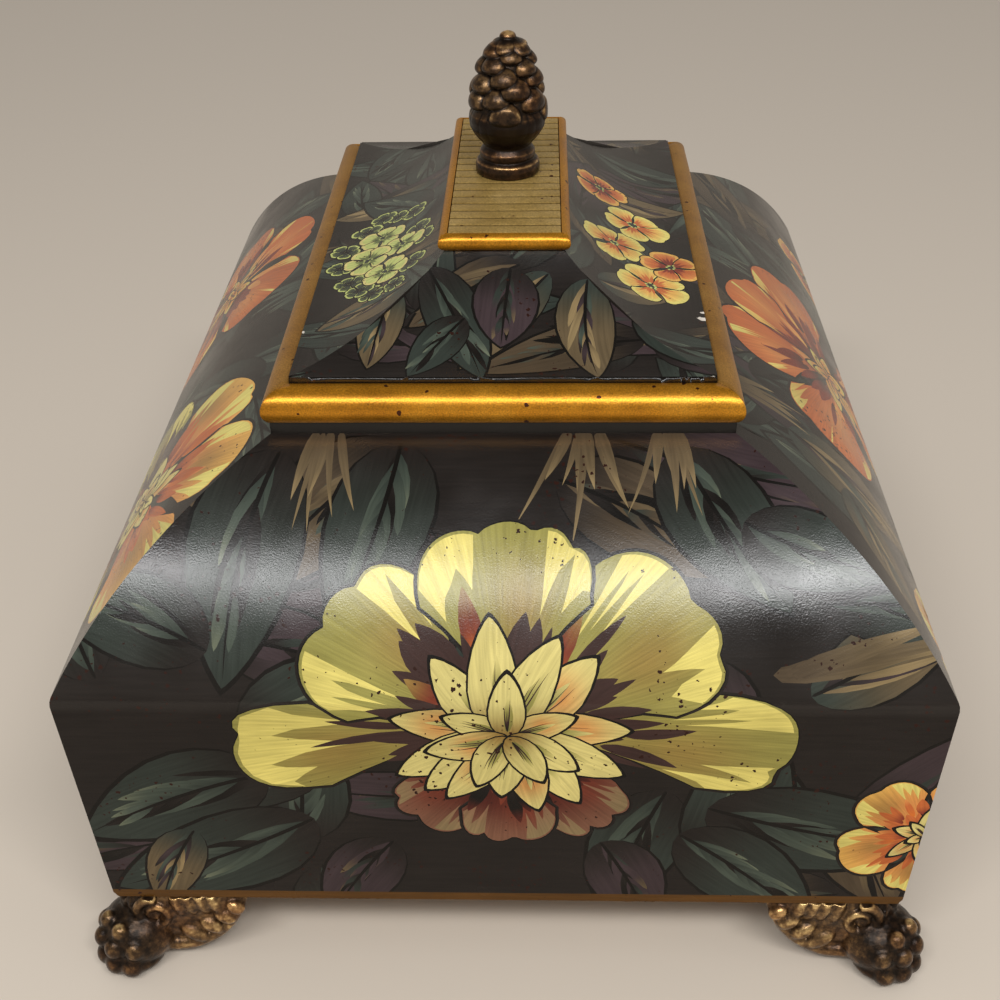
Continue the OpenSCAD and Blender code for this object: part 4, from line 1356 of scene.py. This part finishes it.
foot = {
    "height": body["baseZ"],
    "voxel": 0.55,
    "inset": 0.6,  # wings lie this far inside the wall's foot
    # Wing: a runs along it from the corner, b out from the wall, and depth down from the box
    "back": ((21, -3.4, 8, (21, 3.4, 9.5)), (20, -3.2, 15, (14, 3.2, 9.0)), (36, -3.4, 3.5, (9, 3.0, 5.5))),
    "scroll": (12.5, 7.9, 1.0, 0.62, 3.2),  # place along and down, first radius, growth, half turns
    "flutes": 4,
    "lobes": ((25.0, 17.6, 5.8, 3.1), (31.6, 13.6, 4.9, 2.9), (36.9, 9.0, 4.4, 2.8), (41.0, 4.6, 3.6, 2.6)),
    "band": ((6, -0.8, 20), (14, -0.7, 24.0), (24, -1.0, 23.4), (33, -1.3, 18.8), (39.5, -1.5, 12),
             (43.5, -1.8, 4)),
    "bandRadii": (2.2, 2.6, 2.5, 2.1, 1.7, 1.1),
    # Paw: two balls, then rows of bumps with their height, place out from the heel, size and turns
    "paw": ((-1.4, 11.0, (13.1, 13.8, 10.8)), (1.6, 4.6, (11.2, 12.4, 5.4))),
    "toes": ((18.0, 7.8, 3.3, (-30, 28)), (12.4, 10.4, 3.9, (-60, -21, 18, 58)),
             (5.4, 10.6, 4.3, (-46, -15, 16, 47))),
}


def blob(centre, radii, turn=0.0, tilt=0.0, around=20, rows=12):
    # An ellipsoid: radii times (cos v cos u, cos v sin u, sin v), turned about Z after a tilt about Y
    u = np.linspace(0, 2 * math.pi, around, endpoint=False)[None]
    v = np.linspace(-math.pi / 2, math.pi / 2, rows + 1)[1:-1, None]
    x, y, z = radii[0] * np.cos(v) * np.cos(u), radii[1] * np.cos(v) * np.sin(u), radii[2] * np.sin(v) + 0 * u
    points = np.stack([x, y, z], -1).reshape(-1, 3)
    points = np.concatenate([points, [[0, 0, -radii[2]], [0, 0, radii[2]]]])
    c, s = math.cos(tilt), math.sin(tilt)
    points = points @ np.array([[c, 0, -s], [0, 1, 0], [s, 0, c]])
    c, s = math.cos(turn), math.sin(turn)
    points = points @ np.array([[c, s, 0], [-s, c, 0], [0, 0, 1]]) + np.array(centre)
    return closedRings(points, rows - 1, around)


def sausage(path, radii, around=12):
    # A round bar along a path, its radius given at each point, closed by a fan at each end
    path, radii = np.array(path, float), np.array(radii, float)
    fine = np.linspace(0, len(path) - 1, (len(path) - 1) * 5 + 1)
    path = np.stack([np.interp(fine, np.arange(len(path)), path[:, i]) for i in range(3)], -1)
    for _ in range(3):
        path[1:-1] = (path[:-2] + 2 * path[1:-1] + path[2:]) / 4
    radius = np.interp(fine, np.arange(len(radii)), radii)
    way = np.gradient(path, axis=0)
    way /= np.linalg.norm(way, axis=1, keepdims=True)
    side = np.cross(way, [0.13, 0.31, 0.94])
    side /= np.linalg.norm(side, axis=1, keepdims=True)
    up = np.cross(way, side)
    u = np.linspace(0, 2 * math.pi, around, endpoint=False)
    ring = side[:, None] * np.cos(u)[None, :, None] + up[:, None] * np.sin(u)[None, :, None]
    points = (path[:, None] + ring * radius[:, None, None]).reshape(-1, 3)
    ends = np.stack([path[0] - way[0] * radius[0] * 0.7, path[-1] + way[-1] * radius[-1] * 0.7])
    return closedRings(np.concatenate([points, ends]), len(path), around)


def footParts():
    # One foot at the corner +X +Y of its own frame: two wings and the paw on the diagonal
    height, parts = foot["height"], []

    def wing(hand):
        def at(a, b, depth):
            p = (-a, b - foot["inset"], height - depth)
            return p if hand else (p[1], p[0], p[2])
        heading = 0.0 if hand else math.pi / 2
        # Backing leaf, then the scroll, the flutes, the slanting lobes and the band below them
        for a, b, depth, radii in foot["back"]:
            parts.append(blob(at(a, b, depth), radii, heading))
        a, depth, first, growth, turns = foot["scroll"]
        t = np.linspace(0, turns * math.pi, 30)
        scroll = onCircle(t + 1, first + growth * t) + [a, depth]
        spiral = [at(along, 0.3, down) for along, down in scroll]
        parts.append(sausage(spiral, np.linspace(1.1, 1.9, len(spiral))))
        parts.append(blob(at(12.5, 0.0, 7.6), (2.0, 1.4, 2.0), heading))
        for i in range(foot["flutes"]):
            flute = (2.5, 2.4, 6.4 - 0.6 * i)
            parts.append(blob(at(20.8 + 4.3 * i, -0.9, 3.4), flute, heading, 0.2 + 0.1 * i))
        for a, depth, long, thick in foot["lobes"]:
            parts.append(blob(at(a, -0.5, depth), (long, 2.9, thick), heading, -0.62))
        parts.append(sausage([at(*spot) for spot in foot["band"]], foot["bandRadii"]))

    wing(True)
    wing(False)
    diagonal = math.pi / 4

    def out(r, turn=0.0):  # a place r out along the diagonal, turned about the paw's heel
        return (-3 + r * math.cos(diagonal + turn), -3 + r * math.sin(diagonal + turn))

    parts.append(sausage([(-11, -11, height), (-9, -9, height - 9), (-6, -6, 14)], [8.5, 8.2, 8.8], 20))
    for r, z, radii in foot["paw"]:
        parts.append(blob((*out(r), z), radii, diagonal, 0.0, 28, 18))
    for z, r, size, turns in foot["toes"]:
        for turn in turns:
            parts.append(blob((*out(r, math.radians(turn)), z), (size, size, size * 1.05), diagonal))
    return parts


def buildFeet():
    # Overlapping forms are joined by a fine voxel remesh into one casting, smoothed and cut flat
    points, quads, fans = zip(*footParts())
    starts = np.cumsum([0] + [len(p) for p in points])
    faces = [f.tolist() for kind in (quads, fans) for part, start in zip(kind, starts) for f in part + start]
    mesh = bpy.data.meshes.new("footRough")
    mesh.from_pydata((np.concatenate(points) * mm).tolist(), [], faces)
    rough = newObject("footRough", mesh)
    remesh = rough.modifiers.new("remesh", "REMESH")
    remesh.mode, remesh.voxel_size = "VOXEL", foot["voxel"] * mm
    soften = rough.modifiers.new("soften", "SMOOTH")
    soften.factor, soften.iterations = 0.5, 4
    bpy.context.view_layer.update()
    solid = bpy.data.meshes.new_from_object(rough.evaluated_get(bpy.context.evaluated_depsgraph_get()))
    bpy.data.objects.remove(rough)
    co = readAll(solid.vertices, "co") / mm
    co[:, 2] = np.clip(co[:, 2], 0, foot["height"])
    inward, outward = body["base"] - footBox[0][0], footBox[1][0] - body["base"]
    co[:, :2] *= np.where(co[:, :2] < 0, min(1, inward / -co[:, :2].min()), min(1, outward / co[:, :2].max()))
    faces = np.array([tuple(p.vertices) for p in solid.polygons])
    corner = np.array([body["base"], body["base"] + body["longer"], 0])
    for x, y, node in ((-1, -1, "foot_front_left"), (1, -1, "foot_front_right"), (-1, 1, "foot_back_left"),
                       (1, 1, "foot_back_right")):
        placed = (co + corner) * [x, y, 1]
        own = faces if x == y else faces[:, ::-1]  # a single mirror turns the faces round
        piece = meshFrom("cast_" + node, placed, [own], bronzeFinish, "box")
        alongWing = np.abs(np.abs(placed[:, :2]) - corner[:2]).max(1)
        addRub(piece, 0.02, 0.34, 0.6, 0.12 + 0.36 * smooth(9, 15, alongWing))
        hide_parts(node)
    print("feet built:", len(faces) * 2, "triangles each")


buildFeet()

felt = {
    "thick": 1.0,
    "wave": 0.1,
    "mesh": 4.0,  # spacing of the points
    "rim": 0.2,  # how far the cut edge stays inside the room it has
    "colours": ("#43130f", "#6d2a25"),
}


def feltFinish():
    # Pressed wool felt: dull deep red, a fine fibre mottle and a soft sheen at a slant
    material, add = newMaterial("PressedWoolFelt")
    spot = add("TexCoord").outputs["Object"]
    fibre = add("TexNoise", {"Scale": 1400.0, "Detail": 3.0, "Roughness": 0.7}, {"Vector": spot})
    cloud = add("TexNoise", {"Scale": 50.0, "Detail": 3.0}, {"Vector": spot})
    both = add("Math", {"operation": "MULTIPLY_ADD", 1: 0.5}, {0: fibre, 2: cloud})
    tone = add("ValToRGB", {"stops": tuple(zip((0.55, 0.95), felt["colours"]))}, {"Fac": both})
    bump = add("Bump", {"Strength": 0.6, "Distance": 0.0004}, {"Height": fibre})
    fuzz = {"Roughness": 0.95, "Specular IOR Level": 0.2, "Sheen Weight": 0.4, "Sheen Roughness": 0.5,
            "Sheen Tint": "#c98c84"}
    shader = add("BsdfPrincipled", fuzz, {"Base Color": tone, "Normal": bump})
    add("OutputMaterial", {}, {"Surface": shader})
    return material


feltLook = feltFinish()


def feltSheet(name, node, upward):
    # A flat cut sheet whose free face rises and falls by two crossed sines, with rounded edges
    low, high = boxOf(node)
    x, y = (np.linspace(low[i] + felt["rim"], high[i] - felt["rim"], int((high[i] - low[i]) / felt["mesh"]))
            for i in (0, 1))
    gx, gy = np.meshgrid(x, y, indexing="ij")
    edge = np.minimum.reduce([gx - x[0], x[-1] - gx, gy - y[0], y[-1] - gy])
    wave = felt["wave"] * (np.sin(gx * 0.09 + gy * 0.02) * np.sin(gy * 0.07 + 1) - 1) - 0.25 * (edge < 0.5)
    free = high[2] + wave if upward else low[2] - wave
    kept = np.full_like(free, low[2] + 0.02 if upward else high[2] - 0.02)
    top = np.stack([gx, gy, free if upward else kept], -1)
    bottom = np.stack([gx, gy, kept if upward else free], -1)
    piece = solidGrid(name, top, bottom, feltLook, "box" if upward else "lid", node, 60)
    return piece


def feltBand():
    # The strip round the inside of the walls: its face swells by crossed sines along it and up it
    low, high = boxOf("wall_lining")
    half, height = high[0], high[2] - low[2]
    corners = np.array([(-half, low[1]), (half, low[1]), (half, high[1]), (-half, high[1]), (-half, low[1])])
    sideLengths = np.linalg.norm(np.diff(corners, axis=0), axis=1)
    plan = np.concatenate([
        corners[i] + np.linspace(0, 1, int(sideLengths[i] / felt["mesh"]), endpoint=False)[:, None]
        * (corners[i + 1] - corners[i]) for i in range(4)])
    inward = np.sign(plan) * (np.abs(plan) > np.array([half, high[1]]) - 0.01)
    z = np.linspace(low[2] + felt["rim"], high[2] - felt["rim"], 20)
    run = np.arange(len(plan)) * felt["mesh"]
    wave = felt["wave"] * (1 + np.sin(run[:, None] * 0.06) * np.sin(z[None] * 0.11))
    outer = plan[:, None] - inward[:, None] * 0.03 + 0 * z[None, :, None]
    inner = plan[:, None] - inward[:, None] * (felt["thick"] - wave[..., None])
    outer, inner = (np.concatenate([face, np.broadcast_to(z[None, :, None], (*wave.shape, 1))], -1)
                    for face in (outer, inner))
    ring = np.concatenate([outer, inner[:, ::-1]], 1)
    columns, count = ring.shape[:2]
    index = np.arange(columns * count).reshape(columns, count)
    after = np.roll(index, -1, 0)
    quads = np.stack([index, after, np.roll(after, -1, 1), np.roll(index, -1, 1)], -1).reshape(-1, 4)
    piece = meshFrom("felt_wall_band", ring.reshape(-1, 3), [quads], feltLook, "box")
    piece.data.set_sharp_from_angle(angle=math.radians(60))
    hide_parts("wall_lining")


feltSheet("felt_floor_sheet", "floor_lining", True)
feltSheet("felt_lid_sheet", "lid_lining", False)
feltBand()
print("felt built")


# Planed softwood, unfinished: growth bands along Y with fine darker pores
woodFinish = cloudedFinish(
    "PlanedSoftwood", {"Scale": 1.0, "Detail": 4.0, "Distortion": 0.6},
    ((0.3, "#8a6a44"), (0.5, "#a98656"), (0.7, "#c3a273")),
    {"Roughness": 0.72, "Specular IOR Level": 0.3}, bump=(0.3, 0.0003), stretch=(120.0, 8.0, 120.0))
# Zinc-plated steel: pale grey, cloudy, softly shining
steelFinish = cloudedFinish(
    "ZincPlatedSteel", {"Scale": 500.0, "Detail": 4.0}, ((0.35, "#8f9194"), (0.65, "#bfc1c2")),
    {"Metallic": 1.0}, rough=(0.26, 0.44))
putMaterial(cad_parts["bottom_board"], woodFinish)
for node in ("lid_board", "crown_block", *("lip_" + side for side in sides)):
    putMaterial(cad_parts[node], blackFinish)
for node in ("foot_screws", "finial_stud", "finial_washer", "finial_nut"):
    putMaterial(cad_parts[node], steelFinish)

# Studio: a plain pale floor, two wide low lamps high in front, an even light from all round, and behind it
# a pale wall that darkens to a ceiling overhead, which the lacquer and the metal mirror
studio = {
    "floor": "#d0c4b5",
    "sky": 0.5,
    "wall": "#a39b90",
    "ceiling": "#54524e",
    "lampSize": (0.56, 0.18),
    "lampPlace": (-0.84, 1.13),  # in front of the casket and above the floor
    "aim": (0, -0.1, 0.15),
}


def buildStudio():
    data = bpy.data.meshes.new("floor")
    data.from_pydata([(-6, -6, 0), (6, -6, 0), (6, 6, 0), (-6, 6, 0)], [], [(0, 1, 2, 3)])
    floor = newObject("floor", data)
    material, add = newMaterial("PalePaperFloor")
    paper = {"Base Color": studio["floor"], "Roughness": 0.9, "Specular IOR Level": 0.1}
    shader = add("BsdfPrincipled", paper)
    add("OutputMaterial", {}, {"Surface": shader})
    putMaterial(floor, material)
    world = bpy.data.worlds.new("studio")
    bpy.context.scene.world = world
    add = emptyTree(world)
    rays = add("LightPath")
    way = add("TexCoord")
    parts = add("SeparateXYZ", {}, {0: way.outputs["Generated"]})
    high = add("MapRange", {"range": (0.3, 0.65)}, {"Value": parts.outputs[2]})
    room = add("Mix", {"data_type": "RGBA", 6: studio["wall"], 7: studio["ceiling"]}, {0: high})
    light = add("Background", {"Color": (1, 1, 1, 1), "Strength": studio["sky"]})
    shown = add("Background", {"Strength": 1.0}, {"Color": room.outputs[2]})
    seen = add("Math", {"operation": "MAXIMUM"},
               {0: rays.outputs["Is Camera Ray"], 1: rays.outputs["Is Glossy Ray"]})
    seen = add("Math", {"operation": "MAXIMUM"}, {0: seen, 1: rays.outputs["Is Transmission Ray"]})
    both = add("MixShader", {}, {0: seen, 1: light, 2: shown})
    add("OutputWorld", {}, {"Surface": both})
    for name, across, power in (("left", -0.32, 6.0), ("right", 0.32, 7.2)):
        lamp = bpy.data.lights.new(name, "AREA")
        lamp.shape, lamp.energy = "RECTANGLE", power
        lamp.size, lamp.size_y = studio["lampSize"]
        thing = newObject(name, lamp)
        thing.location = (across, *studio["lampPlace"])
        thing.rotation_mode = "QUATERNION"
        thing.rotation_quaternion = (Vector(studio["aim"]) - thing.location).to_track_quat("-Z", "Y")


buildStudio()
bpy.context.scene.view_settings.view_transform = "Standard"
